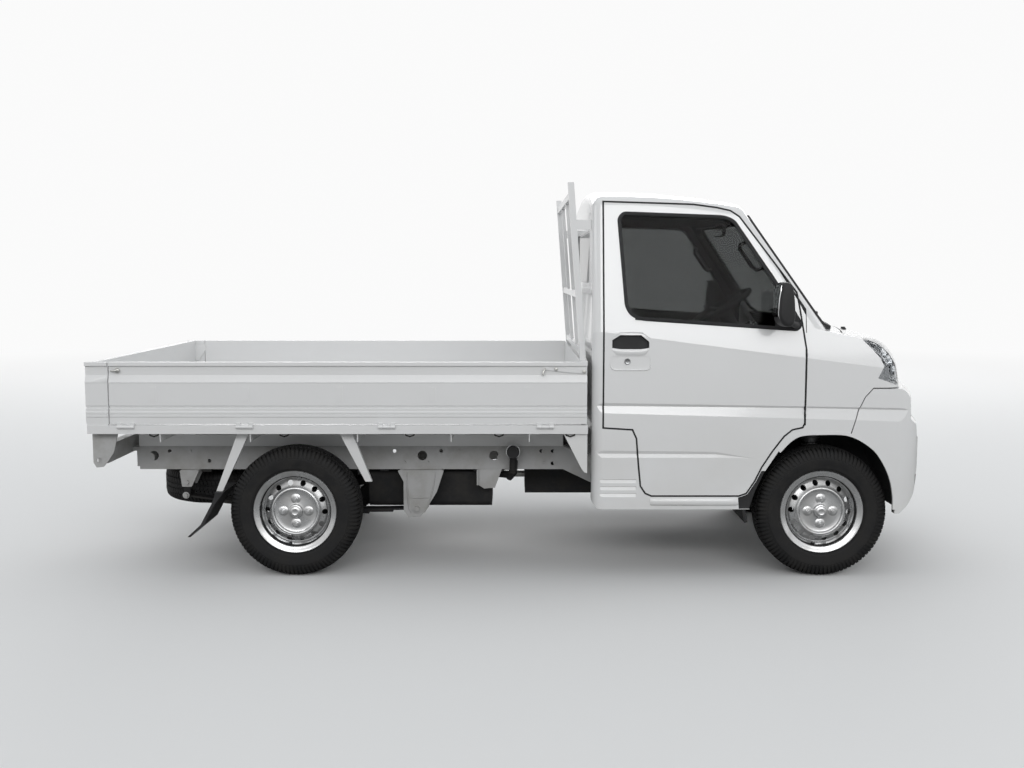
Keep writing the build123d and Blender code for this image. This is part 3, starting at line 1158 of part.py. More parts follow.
fixed_hinge = door_hinge(moving=False)
with BuildPart() as cab_shell:
    add(skin)
    block((CAB_REAR_X - 1, -SEAT_BOX_Y, 200), (FIREWALL_X + PANEL_T, SEAT_BOX_Y, floor_low),
          mode=Mode.SUBTRACT)
    for cut in (door_cut, arch_cut, hinge_room):
        add(cut, mode=Mode.SUBTRACT)
        add(mirrored(cut), mode=Mode.SUBTRACT)
    add(bumper_prism(half_seam), mode=Mode.SUBTRACT)
    add(lid_cut.part, mode=Mode.SUBTRACT)
    add(bonnet_pin_room, mode=Mode.SUBTRACT)
    add(lamp_prism(TOUCH / 2), mode=Mode.SUBTRACT)
    add(screen_prism(0), mode=Mode.SUBTRACT)
    add(rear_prism(0), mode=Mode.SUBTRACT)
    add(liner)
    add(mirrored(liner))
    # floor, seat box, sills, firewall and strut towers
    block((CAB_REAR_X + 5, -INSIDE, floor_low), (FIREWALL_X, INSIDE, floor_high))
    block((CAB_REAR_X + 5, -SEAT_BOX_Y, SEAT_BOX_Z - PANEL_T), (SEAT_BOX_X, SEAT_BOX_Y, SEAT_BOX_Z))
    block((SEAT_BOX_X - PANEL_T, -SEAT_BOX_Y, floor_low), (SEAT_BOX_X, SEAT_BOX_Y, SEAT_BOX_Z))
    for sign in (1, -1):
        y_low, y_high = sorted((sign * (SEAT_BOX_Y - PANEL_T), sign * SEAT_BOX_Y))
        block((CAB_REAR_X + 5, y_low, floor_low), (SEAT_BOX_X, y_high, SEAT_BOX_Z))
    under = SEAT_BOX_Y - PANEL_T
    block((CAB_REAR_X - 1, -under, floor_low - 5), (SEAT_BOX_X - PANEL_T, under, REAR_PANEL_Z),
          mode=Mode.SUBTRACT)
    for sign in (1, -1):
        y_low, y_high = sorted((sign * under, sign * INSIDE))
        block((560, y_low, SILL_Z + 2), (1000, y_high, floor_high))
        y_low, y_high = sorted((sign * under, sign * (WALL_IN + 5)))
        block((560, y_low, SILL_Z + 2), (1000, y_high, DOOR_FOOT_Z - MOVE))
    for cut in (ARCH_INSIDE, ARCH_INSIDE_RIGHT, guard_room, mirrored(guard_room)):
        add(cut, mode=Mode.SUBTRACT)
    add(bulkhead.part)
    for sign in (1, -1):
        x, y, z = kingpin(STRUT_TOP_Z)
        rod((x, sign * y, STRUT_TOP_Z - 11.5), (x, sign * y, STRUT_TOP_Z + 40), STRUT_BOSS_R)
        y_low, y_high = sorted((sign * (RAIL_IN_Y + 5), sign * (RAIL_OUT_Y - 5)))
        for x in CAB_PADS:
            block((x, y_low, RAIL_LOW_TOP_Z + TOUCH), (x + 60, y_high, floor_high))
        block((325, y_low, 488.2), (350, y_high, REAR_PANEL_Z + 1))
    add(fixed_hinge)
    add(mirrored(fixed_hinge))
    add(bonnet_hinge(moving=False))
save(cab_shell.part, "cab_shell")

# ---------------------------------------------------------------- cab: what it carries
with BuildPart() as bumper_grille:
    add(cab_form(-20.0, rounded=False))
    add(cab_form(8.0, rounded=False), mode=Mode.SUBTRACT)
    block((BUMPER_X - 90, -INTAKE_HALF + TOUCH, INTAKE_Z[0] + TOUCH),
          (BUMPER_X + 60, INTAKE_HALF - TOUCH, INTAKE_Z[1] - TOUCH), mode=Mode.INTERSECT)
    for z in (470, 500, 530, 560):
        block((BUMPER_X - 90, -INTAKE_HALF + 30, z), (BUMPER_X + 60, INTAKE_HALF - 30, z + 16),
              mode=Mode.SUBTRACT)
save(bumper_grille.part, "bumper_grille")

SEAT_Y = 335.0
SEAT_W = 460.0
with BuildPart() as seats:
    for sign in (1, -1):
        y = sign * SEAT_Y
        span = (y - SEAT_W / 2, y + SEAT_W / 2)
        base = SEAT_BOX_Z + TOUCH
        side_plate(((440, base), (1000, base), (1005, 750), (960, 768), (440, 745)), *span, corner=15)
        side_plate(((418, 735), (560, 735), (498, 1180), (455, 1235), (400, 1225)), *span, corner=18)
        side_plate(((405, 1215), (452, 1215), (462, 1380), (412, 1380)), y - 130, y + 130, corner=12)
save(seats.part, "seats")

DASH_Y = 690.0
with BuildPart() as dashboard:
    side_plate(((1290, 860), (1250, 960), (1255, 1050), (1300, 1092), (1440, 1080),
                (1500, 1050), (1500, 900), (1450, 860)), -DASH_Y, DASH_Y, corner=20)
    add(cab_form(WALL + MOVE, rounded=False), mode=Mode.INTERSECT)
    for sign in (1, -1):
        y_low, y_high = sorted((sign * (DASH_Y - 30), sign * (WALL_IN - TOUCH)))
        block((1300, y_low, 880), (1480, y_high, 960))
    rod(down_column(-100), down_column(COLUMN_END), 46, mode=Mode.SUBTRACT)
save(dashboard.part, "dashboard")

MIRROR = ((1086, 1333), (1124, 1339), (1142, 1324), (1160, 1250), (1157, 1165), (1147, 1138),
          (1091, 1150), (1079, 1260))
with BuildPart() as door_mirror:
    side_plate(MIRROR, 812, 940, corner=8)
    fillet(door_mirror.faces().sort_by(Axis.Y)[-1].edges(), 14)
    rod((1130, 830, 1180), (1222, 744, 1106), 13)
    block((1200, 736, 1088), (1250, 757, 1124))
with BuildPart() as mirror_left:
    add(door_mirror.part)
    add(cab_form(-TOUCH, rounded=False), mode=Mode.SUBTRACT)
save(mirror_left.part, "mirror_left")
save(mirrored(mirror_left.part), "mirror_right")

WIPERS = (-80.0, 470.0)                     # pivots across the cowl


def on_screen(y, z, out):
    """A point ahead of the windscreen's curve by out."""
    curve = SCREEN_R - sqrt(SCREEN_R ** 2 - y ** 2)
    return (COWL[0] + out - SCREEN_RUN * (z - COWL[1]) - curve, y, z)


with BuildPart() as wiper_rods:
    for y in WIPERS:
        x = on_screen(y, COWL[1], 28)[0]
        rod((x, y, 1090), (x, y, 1146), 11)
        blade = (on_screen(y - 490, 1188, 26), on_screen(y - 10, 1168, 26))
        rod((x, y, 1140), tuple((a + b) / 2 for a, b in zip(*blade)), 5)
        rod(*blade, 4)
with BuildPart() as wipers:
    add(wiper_rods.part)
    add(cab_form(-TOUCH, rounded=False), mode=Mode.SUBTRACT)
save(wipers.part, "wipers")
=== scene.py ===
# %% [markdown]
# A small drop-side truck, dressed in Blender over its measured solids.
# The solids arrive as a fixed frame: one mesh for each sub-part, already in
# place and in metres. Nothing here moves them. Each cell either gives a solid
# its finish or builds a finer piece that rides on the same body.
# %% Load the frame
import math
import bmesh
import bpy
from mathutils import Matrix, Vector


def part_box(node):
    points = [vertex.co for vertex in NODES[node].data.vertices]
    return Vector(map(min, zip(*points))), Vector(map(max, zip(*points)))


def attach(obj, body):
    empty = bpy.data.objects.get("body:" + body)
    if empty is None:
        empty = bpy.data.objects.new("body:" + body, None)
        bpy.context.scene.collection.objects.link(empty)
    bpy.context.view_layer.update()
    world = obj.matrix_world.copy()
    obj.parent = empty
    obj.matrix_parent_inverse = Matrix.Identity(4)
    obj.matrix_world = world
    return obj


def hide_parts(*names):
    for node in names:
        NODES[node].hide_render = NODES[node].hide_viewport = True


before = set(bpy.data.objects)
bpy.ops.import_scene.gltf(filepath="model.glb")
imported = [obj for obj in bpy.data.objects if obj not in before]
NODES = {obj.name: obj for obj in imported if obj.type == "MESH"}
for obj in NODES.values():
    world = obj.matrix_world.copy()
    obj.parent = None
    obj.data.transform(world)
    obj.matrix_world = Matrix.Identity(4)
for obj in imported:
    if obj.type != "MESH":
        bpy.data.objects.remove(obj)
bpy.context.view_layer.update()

# %% [markdown]
# Every finish below is a small node tree. Writing each link by hand hides the
# idea, so this cell makes a socket that understands + - * < > and a few
# functions. "Finish" then holds one Principled shader; only its colour,
# roughness, metallic, coat weight, alpha, emission colour and bump ever vary.
# %% A little language for shader maths
class Wire:
    """A shader output that can be added, multiplied and compared."""

    def __init__(self, finish, socket):
        self.finish = finish
        self.socket = socket

    def math(self, kind, *others):
        node = self.finish.node("ShaderNodeMath", operation=kind)
        for slot, value in zip(node.inputs, (self, *others)):
            self.finish.join(value, slot)
        return Wire(self.finish, node.outputs[0])

    def __add__(self, other):
        return self.math("ADD", other)

    def __sub__(self, other):
        return self.math("SUBTRACT", other)

    def __mul__(self, other):
        return self.math("MULTIPLY", other)

    def __gt__(self, other):
        return self.math("GREATER_THAN", other)

    def __lt__(self, other):
        return self.math("LESS_THAN", other)

    def sine(self):
        return self.math("SINE")

    def power(self, other):
        return self.math("POWER", other)

    def most(self, other):
        return self.math("MAXIMUM", other)

    def span(self, low, high, to_low=0.0, to_high=1.0):
        node = self.finish.node("ShaderNodeMapRange")
        for slot, value in zip(node.inputs, (self, low, high, to_low, to_high)):
            self.finish.join(value, slot)
        return Wire(self.finish, node.outputs[0])


class Finish:
    """One material: a Principled shader and the pattern nodes that vary it."""

    def __init__(self, name, colour, roughness, metallic=0.0, **constants):
        self.material = bpy.data.materials.new(name)
        self.material.use_nodes = True
        self.tree = self.material.node_tree
        self.shader = self.tree.nodes["Principled BSDF"]
        self.shader.inputs["Base Color"].default_value = (*colour, 1.0)
        self.shader.inputs["Roughness"].default_value = roughness
        self.shader.inputs["Metallic"].default_value = metallic
        for key, value in constants.items():
            self.shader.inputs[key.replace("_", " ")].default_value = value

    def node(self, kind, **settings):
        made = self.tree.nodes.new(kind)
        for key, value in settings.items():
            setattr(made, key, value)
        return made

    def join(self, value, socket):
        if isinstance(value, Wire):
            self.tree.links.new(value.socket, socket)
        else:
            socket.default_value = value

    def place(self):
        """Object coordinates."""
        return self.node("ShaderNodeTexCoord").outputs["Object"]

    def along(self, axis):
        split = self.node("ShaderNodeSeparateXYZ")
        self.tree.links.new(self.place(), split.inputs[0])
        return Wire(self, split.outputs["XYZ".index(axis)])

    def noise(self, scale, detail, rough=0.5):
        node = self.node("ShaderNodeTexNoise")
        self.tree.links.new(self.place(), node.inputs["Vector"])
        node.inputs["Scale"].default_value = scale
        node.inputs["Detail"].default_value = detail
        node.inputs["Roughness"].default_value = rough
        return Wire(self, node.outputs["Fac"])

    def cells(self, scale):
        node = self.node("ShaderNodeTexVoronoi", feature="F1")
        self.tree.links.new(self.place(), node.inputs["Vector"])
        node.inputs["Scale"].default_value = scale
        return Wire(self, node.outputs["Distance"])

    def tint(self, share, low, high):
        """Base colour from low to high with share; each is a colour or a Wire."""
        mix = self.node("ShaderNodeMix", data_type="RGBA")
        for value, socket in ((share, 0), (low, 6), (high, 7)):
            self.join((*value, 1.0) if isinstance(value, tuple) else value, mix.inputs[socket])
        self.tree.links.new(mix.outputs[2], self.shader.inputs["Base Color"])
        return Wire(self, mix.outputs[2])

    def vary(self, socket, value):
        self.join(value, self.shader.inputs[socket])

    def bump(self, height, distance):
        node = self.node("ShaderNodeBump")
        node.inputs["Strength"].default_value = 1.0
        node.inputs["Distance"].default_value = distance
        self.join(height, node.inputs["Height"])
        self.tree.links.new(node.outputs[0], self.shader.inputs["Normal"])


print("shader helpers ready")

# %% [markdown]
# Body paint on a working truck is a flat white under a thin clear coat. It is
# never one value: fine orange peel breaks the reflections, and road film
# gathers low down. Both come from noise on object coordinates, so the
# panels match where they meet.
# %% Painted finishes
def painted_shade_mask(paint):
    """1 for painted shade inside the cab, in the arches, underneath and in the shut gap, 0 on the
    outer skin.
    """
    x, y, z = (paint.along(axis) for axis in "XYZ")
    aside = y.math("ABSOLUTE")
    lean = (z - 1.112).most(0.0) * 0.175
    sides = (aside + lean) < 0.7455
    rear = x > 0.333
    screen = (x + (z - 1.137) * 0.733 + y * y * 0.2245) < 1.438
    roof = (z + y * y * 0.135 + (x - 0.4) * (x - 0.4) * 0.143) < 1.752
    nose = x < 1.4
    floor = z > 0.46
    pillar = ((aside > 0.64) * (x > 1.262)).span(0.0, 1.0, 1.0, 0.0)
    # painted shade inside the wheel arches, under the floor and on the white hinges in the door's
    # shut gap
    arch = (x > 0.99) * (x < 1.684) * (z < 0.69) * (aside < 0.752)
    under = (z < 0.47) * (aside < 0.715)
    cabin = sides * rear * screen * roof * nose * floor * pillar
    shut = (x > 1.2545) * (x < 1.2635) * (z > 0.70) * (z < 1.04)
    return cabin.most(arch).most(under).most(shut)


# Near-black painted shade for the cab's inside, the arches, the underside and the shut gap.
PAINTED_SHADE = (0.012, 0.0122, 0.013)
ORANGE_PEEL = 0.00012


def painted(name, colour, film, roughness, coat, shaded_inside=False):
    """Gloss paint with orange peel, a low film of dust and, if shaded_inside, painted shade inside
    the cab, in the arches, underneath and in the shut gap.
    """
    paint = Finish(name, colour, roughness, Coat_Weight=coat, Coat_Roughness=0.06)
    low = paint.along("Z").span(0.15, 0.75, 1.0, 0.0)
    patch = paint.noise(3.2, 5.0).span(0.35, 0.75)
    share = (patch * low) + (patch * 0.12)
    outside = paint.tint(share, colour, film)
    if shaded_inside:
        # painted shade where the mask is 1, with rougher paint and no coat there
        inside = painted_shade_mask(paint)
        paint.tint(inside, outside, PAINTED_SHADE)
        paint.vary("Roughness", inside.span(0, 1, roughness, 0.8))
        paint.vary("Coat Weight", inside.span(0, 1, coat, 0.0))
    else:
        paint.vary("Roughness", (low * patch).span(0, 1, roughness, roughness + 0.35))
    paint.bump(paint.noise(190.0, 2.0), ORANGE_PEEL)
    return paint.material


def worn(name, colour, roughness, patches, tints, wear, grain, depth, turmoil=0.5, **constants):
    """Finish with patches of wear over a fine grain.

    patches is (scale, detail, from, to) of the noise, tints the two colours it runs between,
    wear the two roughnesses, and grain the (scale, detail) of a noise or the (scale,) of cells.
    """
    made = Finish(name, colour, roughness, **constants)
    scale, detail, low, high = patches
    share = made.noise(scale, detail, turmoil).span(low, high)
    if tints:
        made.tint(share, *tints)
    made.vary("Roughness", share.span(0, 1, *wear))
    made.bump(made.noise(*grain) if len(grain) > 1 else made.cells(*grain), depth)
    return made.material


def chassis_coat(name, colour, dust, roughness, lumps=0.0004):
    """Thick satin coat for underbody steel, with dusty patches."""
    return worn(name, colour, roughness, (9.0, 6.0, 0.42, 0.72), (colour, dust),
                (roughness, min(1.0, roughness + 0.25)), (140.0, 4.0), lumps, 0.62,
                Specular_IOR_Level=0.25)


CAB_PAINT = ((0.80, 0.802, 0.802), (0.69, 0.68, 0.655), 0.2, 0.7)
WHITE = painted("white_paint", *CAB_PAINT)
# the cab's paint carries painted shade inside, in the arches, underneath and in the shut gap
CAB_WHITE = painted("cab_paint", *CAB_PAINT, shaded_inside=True)
BED_WHITE = painted("bed_paint", (0.78, 0.782, 0.782), (0.64, 0.63, 0.61), 0.34, 0.35)
FRAME_GREY = chassis_coat("frame_paint", (0.47, 0.47, 0.468), (0.37, 0.362, 0.345), 0.45)
BLACK_STEEL = chassis_coat("black_chassis_paint", (0.012, 0.012, 0.013), (0.036, 0.034, 0.031),
                           0.55)
print("paint finishes", WHITE.name, BED_WHITE.name, FRAME_GREY.name, BLACK_STEEL.name)

# %% [markdown]
# Bare metal parts need less colour and more texture: castings are pitted,
# pressed wheels are painted silver, and chrome only shows what is around it.
# %% Metal finishes
def bright(name, colour, roughness, grain=0.00004):
    """Plated or painted bright metal with faint wear."""
    return worn(name, colour, roughness, (30.0, 6.0, 0.3, 0.8), None,
                (roughness, roughness + 0.16), (400.0, 2.0), grain, metallic=1.0)


IRON = (0.20, 0.20, 0.205)
CAST = worn("cast_metal", IRON, 0.55, (7.0, 5.0, 0.4, 0.7), (IRON, tuple(c * 0.45 for c in IRON)),
            (0.62, 0.38), (260.0, 3.0), 0.0008, metallic=0.75)
CHROME = bright("chrome_plate", (0.80, 0.81, 0.82), 0.05)
DARK_CHROME = bright("smoked_chrome", (0.26, 0.265, 0.27), 0.2)
ZINC = bright("zinc_bolt", (0.52, 0.52, 0.50), 0.32)
WHEEL_SILVER = worn("wheel_silver", (0.58, 0.585, 0.59), 0.3, (14.0, 6.0, 0.45, 0.75),
                    ((0.60, 0.605, 0.61), (0.44, 0.437, 0.43)), (0.26, 0.44), (320.0, 2.0),
                    0.00006, metallic=0.85, Coat_Weight=0.2)
print("metal finishes", CAST.name, CHROME.name, ZINC.name, WHEEL_SILVER.name)

# %% [markdown]
# Rubber and plastics. Rubber is matt with a dusty bloom. Moulded plastic has
# a leather-like grain, made here from small cells.
# %% Rubber, plastic and cloth finishes
def grained(name, colour, roughness, size=900.0, depth=0.00018):
    """Moulded plastic with a fine cell grain."""
    return worn(name, colour, roughness, (11.0, 5.0, 0.45, 0.8),
                (colour, tuple(c * 1.5 + 0.012 for c in colour)),
                (roughness, min(1.0, roughness + 0.18)), (size,), depth, Specular_IOR_Level=0.3)


TYRE_RUBBER = worn("tyre_rubber", (0.016, 0.016, 0.017), 0.72, (16.0, 6.0, 0.42, 0.75),
                   ((0.013, 0.013, 0.0135), (0.026, 0.025, 0.024)), (0.62, 0.86),
                   (420.0, 3.0), 0.00025, Specular_IOR_Level=0.22)
TRIM_BLACK = grained("trim_black_plastic", (0.020, 0.020, 0.021), 0.52)
TRIM_GREY = grained("trim_grey_plastic", (0.030, 0.0305, 0.032), 0.58)
SEAL = grained("seal_rubber", (0.016, 0.016, 0.017), 0.6, 500.0, 0.0001)

cloth = Finish("seat_cloth", (0.045, 0.046, 0.05), 0.93, Sheen_Weight=0.35)
warp = (cloth.along("Y") * 2600.0).sine()
weft = (cloth.along("X") * 1800.0 + cloth.along("Z") * 1800.0).sine()
weave = (warp * weft) * 0.5 + 0.5
cloth.tint(cloth.noise(40.0, 4.0).span(0.3, 0.7), (0.038, 0.039, 0.043), (0.066, 0.067, 0.072))
cloth.bump(weave, 0.0005)
SEAT_CLOTH = cloth.material
print("rubber, plastic and cloth", TYRE_RUBBER.name, TRIM_BLACK.name, SEAT_CLOTH.name)

# %% [markdown]
# The cab's windows are dark tinted safety glass. A Principled shader with
# full transmission and a dark tint lets some of the cab show through while
# the face still mirrors the sky. Lamp lenses use the same idea, clear or red.
# %% Glass and lenses
def glassy(name, colour, roughness=0.02, transmission=1.0, smear=0.03, bend=1.48):
    """Clear or tinted glass with a faint smear; bend is its index of refraction."""
    glass = Finish(name, colour, roughness, Transmission_Weight=transmission, IOR=bend)
    if smear:
        glass.vary("Roughness", glass.noise(6.0, 4.0).span(0.4, 0.8, roughness, roughness + smear))
    return glass.material


GLASS = glassy("tinted_glass", (0.235, 0.243, 0.242), 0.0, smear=0.0, bend=1.12)
LENS_CLEAR = glassy("lamp_lens", (0.95, 0.96, 0.97), 0.0, 1.0, 0.0, 1.14)
LENS_RED = glassy("red_lens", (0.55, 0.012, 0.012), 0.06, 0.55)
LENS_AMBER = glassy("amber_lens", (0.85, 0.26, 0.015), 0.06, 0.55)
MIRROR = bright("mirror_face", (0.86, 0.87, 0.88), 0.02, 0.0)
print("glass", GLASS.name, LENS_CLEAR.name, LENS_RED.name, LENS_AMBER.name)
# %% [markdown]
# Each solid gets the finish of the real part. A short table keeps the list
# in one place, and a node that a finer piece replaces later is still dressed.
# %% Finishes of the solids
WEAR = {
    "tyre": TYRE_RUBBER, "rim": WHEEL_SILVER, "hub": CAST, "rear_axle": BLACK_STEEL,
    "leaf_springs": BLACK_STEEL, "chassis_frame": FRAME_GREY, "front_suspension": BLACK_STEEL,
    "knuckle": CAST, "tie_rods": CAST, "steering_rack": CAST, "steering_column": TRIM_GREY,
    "steering_wheel": TRIM_BLACK, "engine": BLACK_STEEL, "fuel_tank": BLACK_STEEL, "exhaust": ZINC,
    "spare_wheel": TYRE_RUBBER, "rear_bumper": FRAME_GREY, "tail_lamps": LENS_RED,
    "mudguard_braces": BED_WHITE, "mud_flaps": TRIM_BLACK, "load_bed": BED_WHITE,
    "side_gate": BED_WHITE, "tailgate": BED_WHITE, "guard_frame": BED_WHITE, "cab_shell": CAB_WHITE,
    "bonnet": WHITE, "front_bumper": CAB_WHITE, "headlamps": LENS_CLEAR, "windscreen": GLASS,
    "rear_window": GLASS, "door_glass": GLASS, "door": CAB_WHITE, "bumper_grille": TRIM_BLACK,
    "seats": SEAT_CLOTH, "dashboard": TRIM_GREY, "mirror": TRIM_GREY, "wipers": TRIM_BLACK,
}


def finish_for(node):
    """The longest entry of the table that the node's name starts with."""
    keys = [key for key in WEAR if node.startswith(key)]
    return WEAR[max(keys, key=len)]


for name, solid in NODES.items():
    solid.data.materials.clear()
    solid.data.materials.append(finish_for(name))
print("dressed", len(NODES), "solids")
# %% [markdown]
# Small helpers for the finer pieces. All sizes are written in millimetres,
# as on a drawing, and turned into metres here. "piece" is the one door
# through which every finished mesh goes: it gives the material, smooth
# shading with sharp creases and the body it rides on.
# %% Piece helpers
MM = 0.001


def linked(name, mesh):
    """New object in the scene."""
    made = bpy.data.objects.new(name, mesh)
    bpy.context.collection.objects.link(made)
    return made


def evaluated(thing, name):
    """The object's mesh after its modifiers; the object itself is removed."""
    bpy.context.view_layer.update()
    made = bpy.data.meshes.new_from_object(
        thing.evaluated_get(bpy.context.evaluated_depsgraph_get()))
    bpy.data.objects.remove(thing)
    made.name = name
    return made


def piece(name, mesh, finish, body="root", crease=35.0):
    """Finish a mesh, or a bmesh in millimetres, as a part that rides on body."""
    mesh = in_metres(mesh, name)
    mesh.materials.clear()
    mesh.materials.append(finish)
    for face in mesh.polygons:
        face.use_smooth = True
    mesh.set_sharp_from_angle(angle=math.radians(crease))
    made = linked(name, mesh)
    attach(made, body)
    return made


def plain_mesh(shape, name):
    """A bmesh becomes a mesh as it is."""
    mesh = bpy.data.meshes.new(name)
    shape.to_mesh(mesh)
    shape.free()
    return mesh


def mesh_from(shape, name):
    """A bmesh in millimetres becomes a mesh in metres with outward faces."""
    bmesh.ops.remove_doubles(shape, verts=shape.verts, dist=0.001)
    bmesh.ops.scale(shape, vec=(MM, MM, MM), verts=shape.verts)
    bmesh.ops.recalc_face_normals(shape, faces=shape.faces)
    return plain_mesh(shape, name)


def in_metres(mesh, name):
    """The mesh itself, or one made from a bmesh in millimetres."""
    return mesh_from(mesh, name) if isinstance(mesh, bmesh.types.BMesh) else mesh


def skin(shape, rings, loop=False, caps=True):
    """Faces between rings of vertices; loop joins the last to the first, caps close the ends."""
    for i in range(len(rings) if loop else len(rings) - 1):
        ring, after = rings[i], rings[(i + 1) % len(rings)]
        for k in range(len(ring)):
            j = (k + 1) % len(ring)
            shape.faces.new((ring[k], ring[j], after[j], after[k]))
    if caps and not loop:
        shape.faces.new(rings[0])
        shape.faces.new(rings[-1][::-1])


def bevelled(shape, width, segments=2, sharper_than=25.0):
    """Round every edge of a bmesh that turns more than an angle."""
    edges = [e for e in shape.edges
             if e.is_manifold and math.degrees(e.calc_face_angle(0.0)) > sharper_than]
    bmesh.ops.bevel(shape, geom=edges, offset=width, segments=segments, affect="EDGES",
                    profile=0.6, clamp_overlap=True)


def slab(shape, outline, low, high, axis="Y"):
    """Prism on an outline: XZ along Y, XY along Z or YZ along X."""
    def at(point, level):
        a, b = point
        return {"Y": (a, level, b), "Z": (a, b, level), "X": (level, a, b)}[axis]
    rings = [[shape.verts.new(at(p, level)) for p in outline] for level in (low, high)]
    shape.faces.new(rings[0])
    shape.faces.new(rings[1][::-1])
    for i in range(len(outline)):
        j = (i + 1) % len(outline)
        shape.faces.new((rings[0][i], rings[0][j], rings[1][j], rings[1][i]))


def cuboid(shape, low, high):
    """Box between two corners."""
    slab(shape, [(low[0], low[2]), (high[0], low[2]), (high[0], high[2]), (low[0], high[2])],
         low[1], high[1])


def turned(shape, profile, centre, axis="Y", steps=48, closed=False):
    """Lathe: profile points are (radius, distance along the axis) round centre."""
    cx, cy, cz = centre
    rings = []
    for k in range(steps):
        c, s = math.cos(2 * math.pi * k / steps), math.sin(2 * math.pi * k / steps)
        ring = []
        for radius, along in profile:
            a, b = radius * c, radius * s
            ring.append(shape.verts.new({"Y": (cx + a, cy + along, cz + b),
                                         "Z": (cx + a, cy + b, cz + along),
                                         "X": (cx + along, cy + a, cz + b)}[axis]))
        rings.append(ring)
    count = len(profile)
    for k in range(steps):
        ring, after = rings[k], rings[(k + 1) % steps]
        for i in range(count if closed else count - 1):
            j = (i + 1) % count
            shape.faces.new((ring[i], ring[j], after[j], after[i]))
    if not closed:
        for i in (0, count - 1):
            if profile[i][0] > 0.01:
                shape.faces.new([ring[i] for ring in rings])


def tube(shape, points, radius, sides=12, closed=False):
    """Round bar along a list of points, with mitred turns."""
    points = [Vector(p) for p in points]
    count = len(points)
    rings = []
    side = None
    for i, point in enumerate(points):
        before = points[i - 1] if (i or closed) else None
        after = points[(i + 1) % count] if (i < count - 1 or closed) else None
        way = Vector()
        if before is not None:
            way += (point - before).normalized()
        if after is not None:
            way += (after - point).normalized()
        way.normalize()
        if side is None:
            side = way.orthogonal().normalized()
        side = (side - way * side.dot(way)).normalized()
        up = way.cross(side)
        wide = radius[i] if isinstance(radius, (list, tuple)) else radius
        rings.append([shape.verts.new(point + (side * math.cos(2 * math.pi * k / sides)
                                               + up * math.sin(2 * math.pi * k / sides)) * wide)
                      for k in range(sides)])
    skin(shape, rings, closed)


def hexagon(x, z, radius, turn):
    """Six corners round (x, z), turned by some degrees."""
    return [(x + radius * math.cos(math.radians(60 * k + turn)),
             z + radius * math.sin(math.radians(60 * k + turn))) for k in range(6)]


def rounded_oval(a, b, half_a, half_b, power=3.2, steps=40):
    """Rounded rectangle outline round (a, b)."""
    out = []
    for k in range(steps):
        c, s = math.cos(2 * math.pi * k / steps), math.sin(2 * math.pi * k / steps)
        out.append((a + half_a * math.copysign(abs(c) ** (2 / power), c),
                    b + half_b * math.copysign(abs(s) ** (2 / power), s)))
    return out


def mirror_y(mesh, name):
    """The same mesh on the other side of the truck."""
    other = mesh.copy()
    other.name = name
    shape = bmesh.new()
    shape.from_mesh(other)
    bmesh.ops.scale(shape, vec=(1, -1, 1), verts=shape.verts)
    bmesh.ops.reverse_faces(shape, faces=shape.faces)
    shape.to_mesh(other)
    shape.free()
    return other


def both_sides(name, mesh, finish, bodies=("root", "root"), crease=35.0):
    """The piece on the left and its mirror image on the right."""
    mesh = in_metres(mesh, name)
    right = mirror_y(mesh, name + "_r")
    return (piece(name + "_left", mesh, finish, bodies[0], crease),
            piece(name + "_right", right, finish, bodies[1], crease))


print("piece helpers ready")

# %% [markdown]
# A tyre is a body of turned rubber with a tread cut into it. The body is a
# lathe profile: bead, sidewall with its ribs, shoulder and crown. The tread
# is a small block repeated round the crown, so Geometry Nodes place it: one
# copy for each point, each turned a little further round the axle.
# %% Tyre body and tread
WHEEL_Y = 650.0
AXLES = {"front": 1360.0, "rear": -1030.0}
HUB_Z = 296.0
TYRE_PROFILE = [(164, -50), (178, -55.5), (187, -58.5), (190.6, -62), (193, -67), (196.5, -72),
                (200, -75), (203, -76.4), (206, -76.6), (222, -80.2), (236, -82.2), (244, -82.4),
                (246, -80.8), (249, -80.6), (258, -77.5), (268, -73), (276, -68), (283, -60.5)]
TEETH = 92
RIB_RADII = (285, 296)
LUG_FACE = [(249, -82.3), (259, -80.6), (270, -77), (279, -72.6), (285.5, -68), (290.5, -61.5),
            (293.5, -52), (294.6, -43)]


def tyre_profile():
    """Closed section of the tyre, outer side first, then the bore."""
    outer = TYRE_PROFILE + [(286, -50), (287.4, -40), (287.8, -30), (288, 0)]
    back = [(r, -y) for r, y in reversed(outer[:-1])]
    return outer + back + [(158, 46), (158, -46)]


def repeated(name, mesh, finish, arrange, settings):
    """Run a Geometry Nodes tree that puts the mesh on points, and return a plain mesh.

    arrange adds the points to the tree; settings are (socket, type, value) rows.
    """
    tree = bpy.data.node_groups.new(name, "GeometryNodeTree")
    face = tree.interface
    face.new_socket("Geometry", in_out="INPUT", socket_type="NodeSocketGeometry")
    rows = [*settings, ("Finish", "Material", finish)]
    keys = [face.new_socket(label, in_out="INPUT", socket_type="NodeSocket" + kind).identifier
            for label, kind, _ in rows]
    face.new_socket("Geometry", in_out="OUTPUT", socket_type="NodeSocketGeometry")
    make, link = tree.nodes.new, tree.links.new
    given, out = make("NodeGroupInput"), make("NodeGroupOutput")
    place = make("GeometryNodeInstanceOnPoints")
    arrange(make, link, given, place)
    link(given.outputs["Geometry"], place.inputs["Instance"])
    real = make("GeometryNodeRealizeInstances")
    link(place.outputs[0], real.inputs[0])
    paint = make("GeometryNodeSetMaterial")
    link(real.outputs[0], paint.inputs[0])
    link(given.outputs["Finish"], paint.inputs["Material"])
    link(paint.outputs[0], out.inputs[0])
    holder = linked(name, mesh)
    nodes = holder.modifiers.new("repeat", "NODES")
    nodes.node_group = tree
    for key, row in zip(keys, rows):
        nodes[key] = row[2]
    return evaluated(holder, name)


